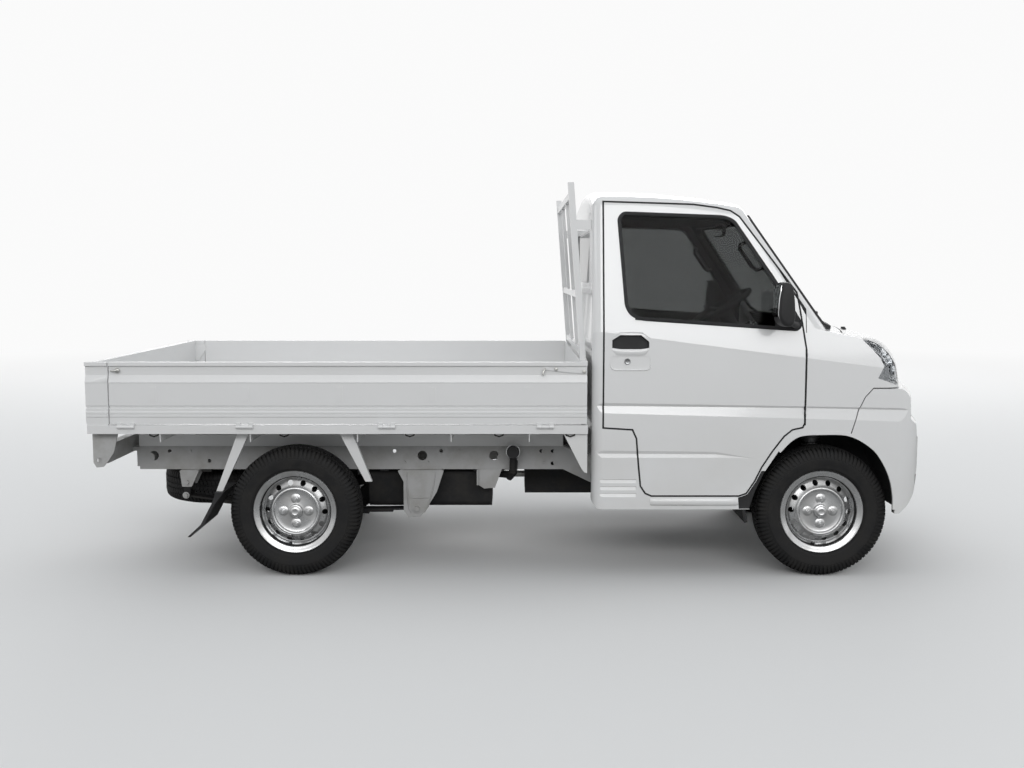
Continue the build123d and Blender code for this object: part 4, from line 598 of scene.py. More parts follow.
def round_the_axle(make, link, given, place):
    """As many points at the origin as Count says, each turned further round Y."""
    points = make("GeometryNodePoints")
    link(given.outputs["Count"], points.inputs["Count"])
    share, turn = make("ShaderNodeMath"), make("ShaderNodeMath")
    share.operation, turn.operation = "DIVIDE", "MULTIPLY"
    link(make("GeometryNodeInputIndex").outputs[0], share.inputs[0])
    link(given.outputs["Count"], share.inputs[1])
    link(share.outputs[0], turn.inputs[0])
    turn.inputs[1].default_value = 2 * math.pi
    spin = make("ShaderNodeCombineXYZ")
    link(turn.outputs[0], spin.inputs["Y"])
    rotate = make("FunctionNodeEulerToRotation")
    link(spin.outputs[0], rotate.inputs[0])
    link(points.outputs[0], place.inputs["Points"])
    link(rotate.outputs[0], place.inputs["Rotation"])


def repeated_round(name, tooth, teeth, finish):
    """One tooth, repeated round the Y axis."""
    return repeated(name, tooth, finish, round_the_axle, [("Count", "Int", teeth)])


def tread_tooth():
    """Raised blocks of one pitch: lugs on both shoulders, and three ribs."""
    shape = bmesh.new()
    pitch = math.radians(360.0 / TEETH)

    def corner(radius, y, share):
        angle = pitch * share
        return shape.verts.new((radius * math.sin(angle), y, radius * math.cos(angle)))

    def rib_block(y_low, y_high, share, skew):
        a, b, c, d, e, f, g, h = (corner(radius, y, side * share + shift)
                                  for radius in RIB_RADII
                                  for y, shift in ((y_low, 0.0), (y_high, skew))
                                  for side in (-0.5, 0.5))
        for ring in ((a, b, d, c), (e, g, h, f), (a, e, f, b), (c, d, h, g), (a, c, g, e),
                     (b, f, h, d)):
            shape.faces.new(ring)

    for sign in (1, -1):
        rows = []
        for k, (radius, y) in enumerate(LUG_FACE):
            lean = 0.34 * sign * k / (len(LUG_FACE) - 1)
            half = 0.29 + 0.05 * k / (len(LUG_FACE) - 1)
            rows.append([corner(r, across, side + lean)
                         for r, across in ((radius, -sign * y), (radius - 7, -sign * (y + 6)))
                         for side in (-half, half)])
        for (a, b, c, d), (e, f, g, h) in zip(rows, rows[1:]):
            for face in ((a, b, f, e), (c, g, h, d), (a, e, g, c), (b, d, h, f)):
                shape.faces.new(face)
        for a, b, c, d in (rows[0], rows[-1]):
            shape.faces.new((a, c, d, b))
        rib_block(sign * 15, sign * 38, 0.82, -0.35 * sign)
    rib_block(-9, 9, 0.9, 0.25)
    return mesh_from(shape, "tread_tooth")


body_shape = bmesh.new()
turned(body_shape, tyre_profile(), (0, 0, 0), steps=128, closed=True)
tyre_body = mesh_from(body_shape, "tyre_body")
tread = repeated_round("tread", tread_tooth(), TEETH, TYRE_RUBBER)
print("tyre", len(tyre_body.polygons), "faces, tread", len(tread.polygons), "faces")


def placed(mesh, name, centre, mirror=False):
    """Copy of a mesh made round the origin, moved to a place given in millimetres."""
    other = mesh.copy()
    other.name = name
    if mirror:
        other = mirror_y(other, name)
    other.transform(Matrix.Translation(Vector(centre) * MM))
    return other


def join_meshes(name, *parts):
    """One mesh from several."""
    shape = bmesh.new()
    for part in parts:
        shape.from_mesh(part)
    return plain_mesh(shape, name)


whole_tyre = join_meshes("whole_tyre", tyre_body, tread)
for axle, x in AXLES.items():
    for side, sign in (("left", 1), ("right", -1)):
        name = f"tyre_{axle}_{side}"
        mesh = placed(whole_tyre, name + "_look", (x, sign * WHEEL_Y, HUB_Z), sign > 0)
        look = piece(name + "_tread", mesh, TYRE_RUBBER, f"wheel_{axle}_{side}")
        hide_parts(name)
print("tyres placed on", ", ".join(AXLES))
# %% [markdown]
# A pressed steel wheel is two turned parts welded together: the rim that
# holds the tyre, and a dished disc with vent holes. Both are lathe profiles
# here. The fourteen vents are cut with one boolean, which is quicker and
# cleaner than weaving holes into the lathe's grid by hand.
# %% Rim and disc
RIM_PROFILE = [(180, 64.5), (186.5, 66), (189.5, 63.5), (188.5, 60), (183, 59.5), (177.5, 56.5),
               (171, 55), (167, 52), (165.5, 44), (165, 32), (160, 25), (152, 18), (149.5, 8),
               (149.5, -22), (163, -34), (166, -56), (182, -59), (188, -62), (187.5, -65),
               (180, -63), (163, -58.5), (160, -36), (145.5, -24), (145.5, 10), (148, 20.5),
               (157, 28.5), (161, 34), (161.5, 46), (163.5, 55.5), (169.5, 58.8), (175, 60.5)]
DISC_PROFILE = [(149.3, 6), (149.3, 17), (147.5, 22), (143, 26), (137, 29.5), (122, 37.5),
                (114, 43.5), (110.5, 48.5), (107.5, 51.3), (103.5, 52.2), (100, 50.8),
                (97.5, 47), (94.5, 42.8), (88, 40.6), (76, 40), (40, 40), (33, 41.5), (31.5, 44),
                (31.5, 38), (76, 36.2), (92, 37.5), (98, 43), (103.5, 47.5), (108, 44),
                (118, 35.5), (134, 27), (143, 21.5), (145.4, 15), (145.4, 6)]


ORIGIN = (0, 0, 0)


def lathe(name, profile):
    shape = bmesh.new()
    turned(shape, profile, ORIGIN, "Y", 96, closed=True)
    return mesh_from(shape, name)


def cut(mesh, cutter, name):
    """Exact boolean difference of two closed meshes."""
    body, knife = linked(name, mesh), linked(name + "_knife", cutter)
    change = body.modifiers.new("cut", "BOOLEAN")
    change.operation = "DIFFERENCE"
    change.solver = "EXACT"
    change.object = knife
    made = evaluated(body, name)
    bpy.data.objects.remove(knife)
    return made


VENTS = 14
vents = bmesh.new()
for k in range(VENTS):
    angle = 2 * math.pi * (k - 0.08) / VENTS
    x, z = 131 * math.cos(angle), 131 * math.sin(angle)
    turned(vents, [(0.001, 5), (12.6, 5), (12.6, 34), (16, 60), (0.001, 60)], (x, 0, z), "Y", 20)
disc = cut(lathe("disc", DISC_PROFILE), mesh_from(vents, "vents"), "disc_cut")
wheel_body = join_meshes("wheel_body", lathe("rim", RIM_PROFILE), disc)
print("wheel", len(wheel_body.polygons), "faces with", VENTS, "vents")

# %% [markdown]
# The disc is held by four nuts on raised pads. A nut is a six-sided prism
# with its corners turned off, a round seat under it and the stud's end
# showing. One nut is made, and it is repeated by the same tree as the tread.
# %% Nuts, hub cap and valve
def nut_mesh():
    """One wheel nut on its pad, at the place of the first stud."""
    shape = bmesh.new()
    x, z = 0.0, 57.15
    turned(shape, [(0.001, 38), (24, 38), (23, 40.5), (19, 43), (13, 44.5), (0.001, 44.5)],
           (x, 0, z), "Y", 24)
    slab(shape, hexagon(x, z, 11.5, 12), 44, 58)
    bevelled(shape, 0.9, 1, 40)
    turned(shape, [(0.001, 55), (6, 55), (6, 63), (5, 64.5), (0.001, 64.5)], (x, 0, z), "Y", 14)
    return mesh_from(shape, "nut")


nuts = repeated_round("nuts", nut_mesh(), 4, WHEEL_SILVER)
CAP_PROFILE = [(0.001, 36), (31, 36), (31, 52), (29.5, 55.5), (26, 57), (24.5, 59.5), (21, 62),
               (14, 63.5), (12, 62.6), (0.001, 62.6)]
cap_shape = bmesh.new()
turned(cap_shape, CAP_PROFILE, ORIGIN, "Y", 48)
hub_cap = mesh_from(cap_shape, "hub_cap")
valve_shape = bmesh.new()
valve_angle = math.radians(-101)
across = Vector((math.cos(valve_angle), 0, math.sin(valve_angle)))
root = across * 158 + Vector((0, 26, 0))
tip = across * 149 + Vector((0, 60, 0))
tube(valve_shape, [root, root.lerp(tip, 0.3), root.lerp(tip, 0.62), root.lerp(tip, 0.64), tip],
     [7.5, 5.5, 4.6, 3.6, 3.6], 12)
valve = mesh_from(valve_shape, "valve")

for axle, x in AXLES.items():
    for side, sign in (("left", 1), ("right", -1)):
        where = (x, sign * WHEEL_Y, HUB_Z)
        body = f"wheel_{axle}_{side}"
        flip = sign < 0
        rim = piece(f"rim_{axle}_{side}_steel", placed(wheel_body, "rim_look", where, flip),
                    WHEEL_SILVER, body)
        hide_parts(f"rim_{axle}_{side}")
        piece(f"nuts_{axle}_{side}", placed(nuts, "nuts_look", where, flip), WHEEL_SILVER, body,
              28)
        piece(f"hub_cap_{axle}_{side}", placed(hub_cap, "cap_look", where, flip), WHEEL_SILVER,
              body)
        piece(f"valve_{axle}_{side}", placed(valve, "valve_look", where, flip), SEAL, body)
print("wheels dressed")
# %% [markdown]
# The spare wheel hangs flat under the tail. It is the same wheel and tyre
# laid on its side, so the meshes are turned a quarter turn and set down
# where the solid is. A real tyre of this size shares every dimension.
# %% Spare wheel
low, high = (Vector(corner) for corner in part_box("spare_wheel"))
middle = (low + high) / 2
laid = Matrix.Translation(middle) @ Matrix.Rotation(math.radians(-90), 4, "X")
spare_tyre, spare_rim = whole_tyre.copy(), wheel_body.copy()
for mesh in (spare_tyre, spare_rim):
    mesh.transform(laid)
spare_look = piece("spare_tyre_tread", spare_tyre, TYRE_RUBBER, "root")
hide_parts("spare_wheel")
piece("spare_wheel_disc", spare_rim, WHEEL_SILVER, "root")
print("spare between", [round(v, 3) for v in low], [round(v, 3) for v in high])

# %% [markdown]
# The carrier that holds the spare wheel: a cross bar under the frame rails, a
# threaded rod down through the wheel's centre and a round plate under it.
# %% Spare wheel carrier
carrier = bmesh.new()
mx, mz = middle.x / MM, 288.0
cuboid(carrier, (mx - 12, -394, 422), (mx + 36, 394, 435.6))
bevelled(carrier, 2.0)
for steps, profile in (
        (20, [(0.001, mz - 62), (9, mz - 62), (9, 430), (0.001, 430)]),
        (32, [(0.001, mz - 50), (50, mz - 50), (50, mz - 46), (30, mz - 39), (0.001, mz - 39)]),
        (6, [(0.001, mz - 61), (16, mz - 61), (16, mz - 50), (0.001, mz - 50)])):
    turned(carrier, profile, (mx, 0, 0), "Z", steps)
piece("spare_carrier", carrier, BLACK_STEEL, "root")
print("carrier at x", round(mx))
# %% [markdown]
# Details that sit on the body must follow its curves. Instead of copying the
# curves, a ray is shot at the solid from outside, and the piece is put where
# it lands. The skin's distance from the middle plane is then known for any
# place on the side.
# %% Finding the skin
from mathutils.bvhtree import BVHTree

TREES = {}


def tree_of(node):
    """Search tree of one solid, made once."""
    if node not in TREES:
        shape = bmesh.new()
        shape.from_mesh(NODES[node].data)
        TREES[node] = BVHTree.FromBMesh(shape)
        shape.free()
    return TREES[node]


def landing(nodes, start, way, fallback=None):
    """Nearest point, in millimetres, where a ray meets any of the solids."""
    best = None
    for node in nodes:
        place, _, _, distance = tree_of(node).ray_cast(Vector(start) * MM, Vector(way))
        if place is not None and (best is None or distance < best[0]):
            best = (distance, place / MM)
    return best[1] if best else fallback


SIDE_NODES = ("cab_shell", "door_left", "front_bumper", "door_glass_left")


def side_y(x, z):
    """Distance of the left skin from the middle plane at x, z."""
    place = landing(SIDE_NODES, (x, 1100, z), (0, -1, 0))
    return place.y if place is not None and place.y > 560 else None


def smooth_side(x, z):
    """Side of the cab without its seams and grooves: the outermost of nine near points."""
    found = [side_y(x + dx, z + dz) for dx in (-12, 0, 12) for dz in (-12, 0, 12)]
    found = [y for y in found if y is not None]
    return max(found) if found else 765.0


def rounded_path(outline, radius, steps=5):
    """Closed outline with its corners rounded."""
    path = []
    count = len(outline)
    for i, corner in enumerate(outline):
        corner = Vector(corner)
        before, after = Vector(outline[i - 1]), Vector(outline[(i + 1) % count])
        reach = min(radius, (before - corner).length * 0.45, (after - corner).length * 0.45)
        a = corner + (before - corner).normalized() * reach
        b = corner + (after - corner).normalized() * reach
        for k in range(steps + 1):
            t = k / steps
            path.append(a.lerp(corner, t).lerp(corner.lerp(b, t), t))
    return path


def evenly(path, gap):
    """Points along a closed path at most gap apart."""
    out = []
    for a, b in zip(path, path[1:] + path[:1]):
        steps = max(1, int(math.ceil((b - a).length / gap)))
        out.extend(a.lerp(b, k / steps) for k in range(steps))
    return out


def band(shape, points, ways, half, depth, closed=True):
    """Rectangular strip along points; ways are the sideways directions, depth runs along -Y."""
    rings = []
    for point, way in zip(points, ways):
        rings.append([shape.verts.new(point + way * a + Vector((0, b, 0)))
                      for a, b in ((-half, 0), (half, 0), (half, -depth), (-half, -depth))])
    skin(shape, rings, closed)


def sideways(path, closed=True):
    """Unit directions across a path in the X Z plane, as 3-D vectors."""
    ways = []
    count = len(path)
    for i in range(count):
        a = path[i - 1] if i or closed else path[i]
        b = path[(i + 1) % count] if i < count - 1 or closed else path[i]
        run = (b - a).normalized()
        ways.append(Vector((-run.y, 0, run.x)))
    return ways


print("skin at the door's middle", round(side_y(800, 900), 1), "mm from the middle")

# %% [markdown]
# Each door closes on a rubber seal. From outside it is the dark line round
# the door, so it is a thin black strip that follows the shut line a few
# millimetres behind the skin.
# %% Door seals
DOOR_LINE = [(361, 1096), (361, 688), (492, 680), (510, 640), (520, 520), (530, 425), (552, 392),
             (580, 380), (972, 380), (1005, 392), (1041, 447), (1071, 510), (1120, 586),
             (1168, 650), (1205, 680), (1250, 690), (1259, 710), (1259, 1040), (1245, 1138),
             (1222, 1289), (970, 1625), (930, 1652), (870, 1666), (766, 1680), (361, 1692)]


def strip_along(outline, half, depth, behind, radius=0.0, gap=30.0):
    """Closed strip that follows an outline on the left side, behind the skin by a little."""
    path = rounded_path(outline, radius) if radius else [Vector(p) for p in outline]
    path = evenly(path, gap)
    points = [Vector((p.x, smooth_side(p.x, p.y) - behind, p.y)) for p in path]
    shape = bmesh.new()
    band(shape, points, sideways(path), half, depth)
    return shape


both_sides("door_seal", strip_along(DOOR_LINE, 2.6, 12, 1.4), SEAL)

# %% [markdown]
# The window rubber is a flat lip round the opening. It hides the edge of the
# glass and gives the window its clean black border.
# %% Window rubbers
WINDOW_LINE = [(431, 1617), (451, 1640), (898, 1624), (942, 1608), (1126, 1335), (1238, 1150),
               (1221, 1126), (527, 1173), (482, 1193), (462, 1229)]
DOOR_BODIES = ("door_left", "door_right")
lip = strip_along(WINDOW_LINE, 8.0, 9, -1.6, 26.0, 26.0)
bmesh.ops.recalc_face_normals(lip, faces=lip.faces)
bevelled(lip, 1.5, 2)
both_sides("window_rubber", lip, SEAL, DOOR_BODIES, 50)
waist = bmesh.new()
band(waist, [Vector((x, smooth_side(x, z - 14) + 2.2, z)) for x, z in
             ((500, 1176), (700, 1163), (900, 1149), (1100, 1135), (1222, 1127))],
     [Vector((0.06, 0, 1))] * 5, 7.0, 12, closed=False)
bmesh.ops.recalc_face_normals(waist, faces=waist.faces)
bevelled(waist, 2.0, 2)
both_sides("waist_rubber", waist, SEAL, DOOR_BODIES, 50)
print("rubbers round", len(WINDOW_LINE), "corners of each window")

# %% [markdown]
# The door handle is a flap that pulls from below a dark hollow, with the key
# cylinder in a shallow plate under it. The hollow is already cut in the
# solid; it gets a black liner, and the flap is a bowed bar with round ends.
# %% Door handles
HOLLOW = [(398, 1040), (398, 1078), (433, 1102), (526, 1102), (562, 1072), (562, 1040)]
flat = smooth_side(620, 1060)
liner = bmesh.new()
inner = rounded_path([(x + (4 if x < 480 else -4), z - 3 if z > 1050 else z + 3)
                      for x, z in HOLLOW], 7)
slab(liner, [tuple(p) for p in inner], flat - 27.5, flat - 20)
flap = bmesh.new()
rows = []
for k in range(17):
    t = k / 16.0
    x = 396 + 168 * t
    bow = 1 - (2 * t - 1) ** 2
    end = min(1.0, 6 * min(t, 1 - t) + 0.12)
    top = 1046 - 8 * bow
    low = 1046 - 38 * end ** 0.35
    out = flat - 3 + 8.0 * end ** 0.6
    rows.append([flap.verts.new((x, y, z)) for y, z in
                 ((flat - 12, top - 2), (out - 3, top), (out, top - 5),
                  (out + 0.6, (top + low) / 2), (out - 3.5, low + 5), (out - 8, low),
                  (flat - 12, low + 1))])
skin(flap, rows)
lip = bmesh.new()
path = [Vector((x, flat + 0.2, z)) for x, z in
        ((390, 985), (391, 965), (398, 953), (412, 948), (470, 947), (550, 948), (563, 953),
         (570, 965), (571, 985))]
tube(lip, path, [0.6, 2.4, 3.4, 3.8, 3.8, 3.8, 3.4, 2.4, 0.6], 10)
brow = [Vector((x, flat - 0.4, z)) for x, z in
        ((388, 1082), (398, 1090), (431, 1113), (480, 1115), (530, 1113), (566, 1087),
         (572, 1078))]
tube(lip, brow, [0.5, 1.6, 2.2, 2.2, 2.2, 1.6, 0.5], 10)
lock = bmesh.new()
turned(lock, [(0.001, -6), (13.5, -6), (13.5, 0.5), (11.5, 2.5), (9.5, 1.2), (0.001, 1.2)],
       (466, flat, 985), "Y", 28)
slab(lock, [(464.6, 979), (467.4, 979), (467.4, 991), (464.6, 991)], flat + 1.0, flat + 1.8)
both_sides("handle_hollow", liner, TRIM_BLACK, DOOR_BODIES)
both_sides("handle_flap", flap, WHITE, DOOR_BODIES, 50)
both_sides("handle_lip", lip, WHITE, DOOR_BODIES, 60)
both_sides("door_lock", lock, DARK_CHROME, DOOR_BODIES)
print("handles on a skin at", round(flat, 1))
# %% [markdown]
# Under each door runs the sill: a rounded bar of pressed steel with a small
# flange below it, where the floor is welded on. It is drawn as a profile
# that follows the body from the rear corner to the front wheel arch.
# %% Sills
def swept(shape, profile, stations):
    """Skin a closed profile of (y, z) offsets through stations of (x, y, z, scale)."""
    skin(shape, [[shape.verts.new((x, y + a * size, z + b * size)) for a, b in profile]
                 for x, y, z, size in stations])


SILL = [(-8, 375), (-2, 375.5), (3.5, 372), (7.5, 366), (9.5, 357), (9.2, 347), (6.5, 340),
        (1.0, 336), (-3.5, 334.5), (-4, 326.5), (-8, 326.5)]
sill = bmesh.new()
flat = smooth_side(700, 352)
swept(sill, [(a, b - 350) for a, b in SILL],
      [(574, flat - 4, 350, 0.9), (582, flat - 1, 350, 1.0), (780, flat, 350, 1.0),
       (958, flat, 350, 1.0), (968, flat - 3, 350, 0.92)])
both_sides("sill", sill, WHITE, crease=50)
print("sill skin at", round(flat, 1))

# %% [markdown]
# The edge of each front wheel arch is rolled over. The lip is a strip along
# a smooth curve through a few points of the arch, a touch proud of the skin.
# %% Arch lips
ARCH_POINTS = [(1146, 584), (1199, 638), (1250, 662), (1338, 667), (1426, 666), (1483, 653),
               (1541, 621), (1588, 581), (1630, 517), (1658, 448), (1671, 378), (1673, 318)]


def smooth_through(points, steps):
    """Catmull-Rom curve through points, open at both ends, with steps to a span."""
    points = [Vector(p) for p in points]
    ends = [points[0] * 2 - points[1], *points, points[-1] * 2 - points[-2]]
    path = []
    for a, b, c, d in zip(ends, ends[1:], ends[2:], ends[3:]):
        for k in range(steps):
            t = k / steps
            path.append(0.5 * (2 * b + (c - a) * t + (2 * a - 5 * b + 4 * c - d) * t * t
                               + (3 * b - a - 3 * c + d) * t ** 3))
    return path + [points[-1]]


middle = Vector((1338, 330))
lip_path = [p + (middle - p).normalized() * 3.0 for p in smooth_through(ARCH_POINTS, 6)]
arch_lip = bmesh.new()
skin_at = [Vector((p.x, smooth_side(p.x, p.y) + 1.0, p.y)) for p in lip_path]
band(arch_lip, skin_at, sideways(lip_path, False), 7.0, 11.0, closed=False)
bevelled(arch_lip, 1.6, 2, 50)
both_sides("arch_lip", arch_lip, WHITE, crease=60)
print("arch lip has", len(lip_path), "points")
# %% [markdown]
# A headlamp is a clear cover over a dark bucket with chrome bowls in it. The
# cover must match the body exactly, so it is lifted from the solid: the faces
# that look outwards are kept, and a thin wall and a bucket are grown from
# them inwards.
# %% Lamp covers and buckets
def outer_faces(node, heart):
    """The faces on a solid's left side that look away from heart, as a bmesh in metres."""
    shape = bmesh.new()
    shape.from_mesh(NODES[node].data)
    bmesh.ops.remove_doubles(shape, verts=shape.verts, dist=0.00002)
    heart = Vector(heart) * MM
    gone = []
    for face in shape.faces:
        middle = face.calc_center_median()
        if middle.y < 0 or face.normal.dot((middle - heart).normalized()) < 0.42:
            gone.append(face)
    bmesh.ops.delete(shape, geom=gone, context="FACES")
    return shape


def inward_copy(sheet, depth):
    """Sheet moved inwards along its own smooth normals."""
    other = sheet.copy()
    other.normal_update()
    for vert in other.verts:
        vert.co -= vert.normal * depth
    return other


def shell_between(outer, inner, drop_outer=False):
    """Closed wall between two sheets of the same build."""
    shape = bmesh.new()
    first = [shape.verts.new(v.co) for v in outer.verts]
    second = [shape.verts.new(v.co) for v in inner.verts]
    outer.verts.index_update()
    for face in outer.faces:
        ids = [v.index for v in face.verts]
        if not drop_outer:
            shape.faces.new([first[i] for i in ids])
        shape.faces.new([second[i] for i in reversed(ids)])
    for edge in outer.edges:
        if edge.is_boundary:
            a, b = (v.index for v in edge.verts)
            shape.faces.new((first[a], first[b], second[b], second[a]))
    bmesh.ops.recalc_face_normals(shape, faces=shape.faces)
    return shape


LAMP_HEART = (1560, 470, 960)
cover = outer_faces("headlamps", LAMP_HEART)
print("lamp cover", len(cover.faces), "faces")
lens = plain_mesh(shell_between(cover, inward_copy(cover, 0.003)), "lens")
open_bucket = shell_between(inward_copy(cover, 0.006), inward_copy(cover, 0.034), drop_outer=True)
bmesh.ops.reverse_faces(open_bucket, faces=open_bucket.faces)
thick = inward_copy(open_bucket, 0.0015)
bucket = plain_mesh(shell_between(open_bucket, thick), "bucket")
cover.free()

# %% [markdown]
# Inside sit three reflector bowls: a large one for the main beam and smaller
# ones for the side lamp and the turn signal, each with its bulb.
# %% Reflectors and bulbs
BOWL_WALL = 1.2
COVER_GAP = 7.0


def bowl(shape, centre, radius, depth):
    """Paraboloid that opens along +X."""
    profile = [(radius * k / 9.0, depth * (k / 9.0) ** 2) for k in range(1, 10)]
    profile = [(0.5, 0.0)] + profile
    back = [(r + BOWL_WALL * 0.6, d - BOWL_WALL) for r, d in reversed(profile)]
    turned(shape, profile + back, centre, "X", 40, closed=True)


def seat_behind(y, z, radius):
    """X of a bowl's rim that keeps all of it behind the cover."""
    found = []
    for k in range(12):
        dy, dz = radius * math.cos(k * math.pi / 6), radius * math.sin(k * math.pi / 6)
        place = landing(("headlamps",), (2200, y + dy, z + dz), (-1, 0, 0))
        if place is not None and place.x > 1500:
            found.append(place.x)
    return min(found) - COVER_GAP if found else 1650.0


bowls, bulbs, amber = bmesh.new(), bmesh.new(), bmesh.new()
for y, z, radius, depth, kind in ((602, 968, 38, 34, "beam"), (648, 1012, 25, 22, "side"),
                                  (652, 935, 21, 18, "signal")):
    rim = seat_behind(y, z, radius)
    bowl(bowls, (rim - depth, y, z), radius, depth)
    r = 0.2 * radius
    turned(amber if kind == "signal" else bulbs,
           [(0.001, 2.0 * r), (0.6 * r, 1.8 * r), (r, r), (r, -r), (0.001, -r)],
           (rim - depth + 8, y, z), "X", 20)
    print(kind, "rim at x", round(rim))

lens_left = both_sides("headlamp_cover", lens, LENS_CLEAR)[0]
both_sides("headlamp_bucket", bucket, DARK_CHROME)
both_sides("headlamp_bowls", bowls, CHROME)
both_sides("headlamp_bulbs", bulbs, LENS_CLEAR)
both_sides("signal_bulb", amber, LENS_AMBER)
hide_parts("headlamps")
print("headlamps dressed")
# %% [markdown]
# The windscreen sits in a black rubber that stands a little proud of the
# pillars. A strip of black plastic closes the gap at its foot, where the
# wipers have their pivots, and two washer nozzles stand on the bonnet.
# %% Windscreen rubber and cowl strip
def on_front(y, z, out=0.0):
    """Point ahead of the front skin by out, at y and z."""
    place = landing(("windscreen", "cab_shell", "bonnet"), (2200, y, z), (-1, 0, 0))
    x = place.x if place is not None else 1461 - 0.733 * (z - 1137) - y * y / 4454
    return Vector((x + out, y, z))


def on_top(x, y, out=0.0):
    """Point above the skin by out, at x and y."""
    place = landing(("cab_shell", "bonnet"), (x, y, 2000), (0, 0, -1))
    return Vector((x, y, (place.z if place is not None else 1130) + out))


rubber = bmesh.new()
for half_low, half_high, low, high in ((664, 590, 1153, 1620), (679, 604, 1147, 1629)):
    edge = evenly(rounded_path([(-half_low, low), (half_low, low), (half_high, high),
                                (-half_high, high)], 48), 36)
    tube(rubber, [on_front(p.x, p.y, 0.5) for p in edge], 8.5, 8, closed=True)
piece("screen_rubber", rubber, SEAL, "root", 60)

COWL_PROFILE = ((-14, 10), (4, 9), (22, 1.5), (34, -6), (34, -16), (-14, -16))
strip = bmesh.new()
skin(strip, [[strip.verts.new(on_front(y, 1141) + Vector((ahead, 0, up)))
              for ahead, up in COWL_PROFILE] for y in range(-640, 641, 64)])
piece("cowl_strip", strip, TRIM_BLACK, "root", 40)
print("rubber has", len(edge), "points")

# %% [markdown]
# Each wiper is a pivot with a cap, a tapering arm and a blade: a flat holder
# with a rubber lip below it that rests on the glass.
# %% Wipers and washer nozzles
wiper = bmesh.new()
for y in (-80, 470):
    pivot = on_front(y, 1139, 22)
    turned(wiper, [(0.001, -34), (9, -34), (9, 2), (14, 4), (14, 14), (9, 20), (0.001, 21)],
           tuple(pivot), "Z", 20)
    blade = [on_front(y - 490 + 60 * k, 1189 - 2.5 * k) for k in range(9)]
    middle = blade[4] + Vector((22, 0, 8))
    tube(wiper, [pivot + Vector((0, 0, 12)), pivot.lerp(middle, 0.35) + Vector((7, 0, 9)),
                 pivot.lerp(middle, 0.8) + Vector((6, 0, 8)), middle], [9, 7.5, 5.5, 5], 10)
    tube(wiper, [p + Vector((14, 0, 7)) for p in blade], [4, 6.5, 7.5, 8, 8, 8, 7.5, 6.5, 4], 8)
    tube(wiper, [p + Vector((5.5, 0, 2.5)) for p in blade], 3.6, 6)
wiper_look = piece("wiper_arms", wiper, TRIM_BLACK, "root", 45)
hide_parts("wipers")
nozzle = bmesh.new()
for y in (-300, 300):
    base = on_top(1560, y, -2)
    turned(nozzle, [(0.001, 0), (13, 0), (13, 4), (9, 8), (6.5, 13), (0.001, 14)], tuple(base),
           "Z", 18)
    cuboid(nozzle, (base.x - 12, y - 6, base.z + 6), (base.x + 2, y + 6, base.z + 13))
piece("washer_nozzles", nozzle, TRIM_BLACK, "bonnet", 40)

# %% [markdown]
# The door mirror has a deep shell, a flat glass that looks back, and an arm
# that ends in a black plate over the corner of the window.
# %% Door mirrors
MIRROR_EDGE = [(1104, 1332), (1124, 1337), (1145, 1331), (1154, 1298), (1160, 1248), (1164, 1182),
               (1154, 1148), (1124, 1143), (1100, 1161), (1089, 1197), (1093, 1268)]
shell = bmesh.new()
outline = evenly(rounded_path(MIRROR_EDGE, 16, 3), 14)
heart = Vector((sum(p.x for p in outline), sum(p.y for p in outline))) / len(outline)
hoops = []
for y, size in ((804, 0.62), (806, 0.80), (812, 0.92), (824, 0.985), (845, 1.0), (900, 1.0),
                (920, 0.985), (931, 0.93), (937, 0.82), (939, 0.62)):
    hoops.append([shell.verts.new((heart.x + (p.x - heart.x) * size, y,
                                   heart.y + (p.y - heart.y) * (0.4 + 0.6 * size)))
                  for p in outline])
skin(shell, hoops)
tube(shell, [(1160, 828, 1168), (1176, 806, 1158), (1200, 774, 1148), (1212, 748, 1146)],
     [15, 14, 14, 17], 12)
shells = both_sides("mirror_shell", shell, TRIM_BLACK, DOOR_BODIES, 50)
for look, node in zip(shells, ("mirror_left", "mirror_right")):
    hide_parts(node)

face = bmesh.new()
rows = []
for x, z, inset in ((1100.5, 1166, 10), (1089.5, 1197, 3), (1091.0, 1235, 3), (1092.5, 1268, 3),
                    (1098.0, 1301, 3), (1103.5, 1325, 10)):
    low, high = 818 + inset, 928 - inset
    rows.append([face.verts.new(p) for p in
                 ((x - 0.8, low, z), (x - 0.8, high, z), (x + 4, high, z), (x + 4, low, z))])
skin(face, rows)
both_sides("mirror_glass", face, MIRROR, DOOR_BODIES, crease=30)

SAIL = [(1127, 1330), (1193, 1234), (1222, 1184), (1231, 1152), (1224, 1128), (1122, 1131)]
sail = bmesh.new()
edge = rounded_path(SAIL, 12, 3)
middle = sum(edge, Vector((0, 0))) / len(edge)
plates = []
for inset, out in ((0.0, -8.0), (0.0, 1.5), (4.0, 4.5)):
    inner = [p + (middle - p).normalized() * inset for p in edge]
    plates.append([sail.verts.new((q.x, smooth_side(q.x, q.y) + out, q.y)) for q in inner])
skin(sail, plates, caps=False)
for plate, y in ((plates[0], -8.0), (plates[-1], 5.0)):
    hub = sail.verts.new((middle.x, smooth_side(middle.x, middle.y) + y, middle.y))
    for k in range(len(plate)):
        sail.faces.new((plate[k], plate[(k + 1) % len(plate)], hub))
both_sides("mirror_sail", sail, TRIM_BLACK, DOOR_BODIES, 40)
print("mirrors dressed, plate of", len(edge), "points")
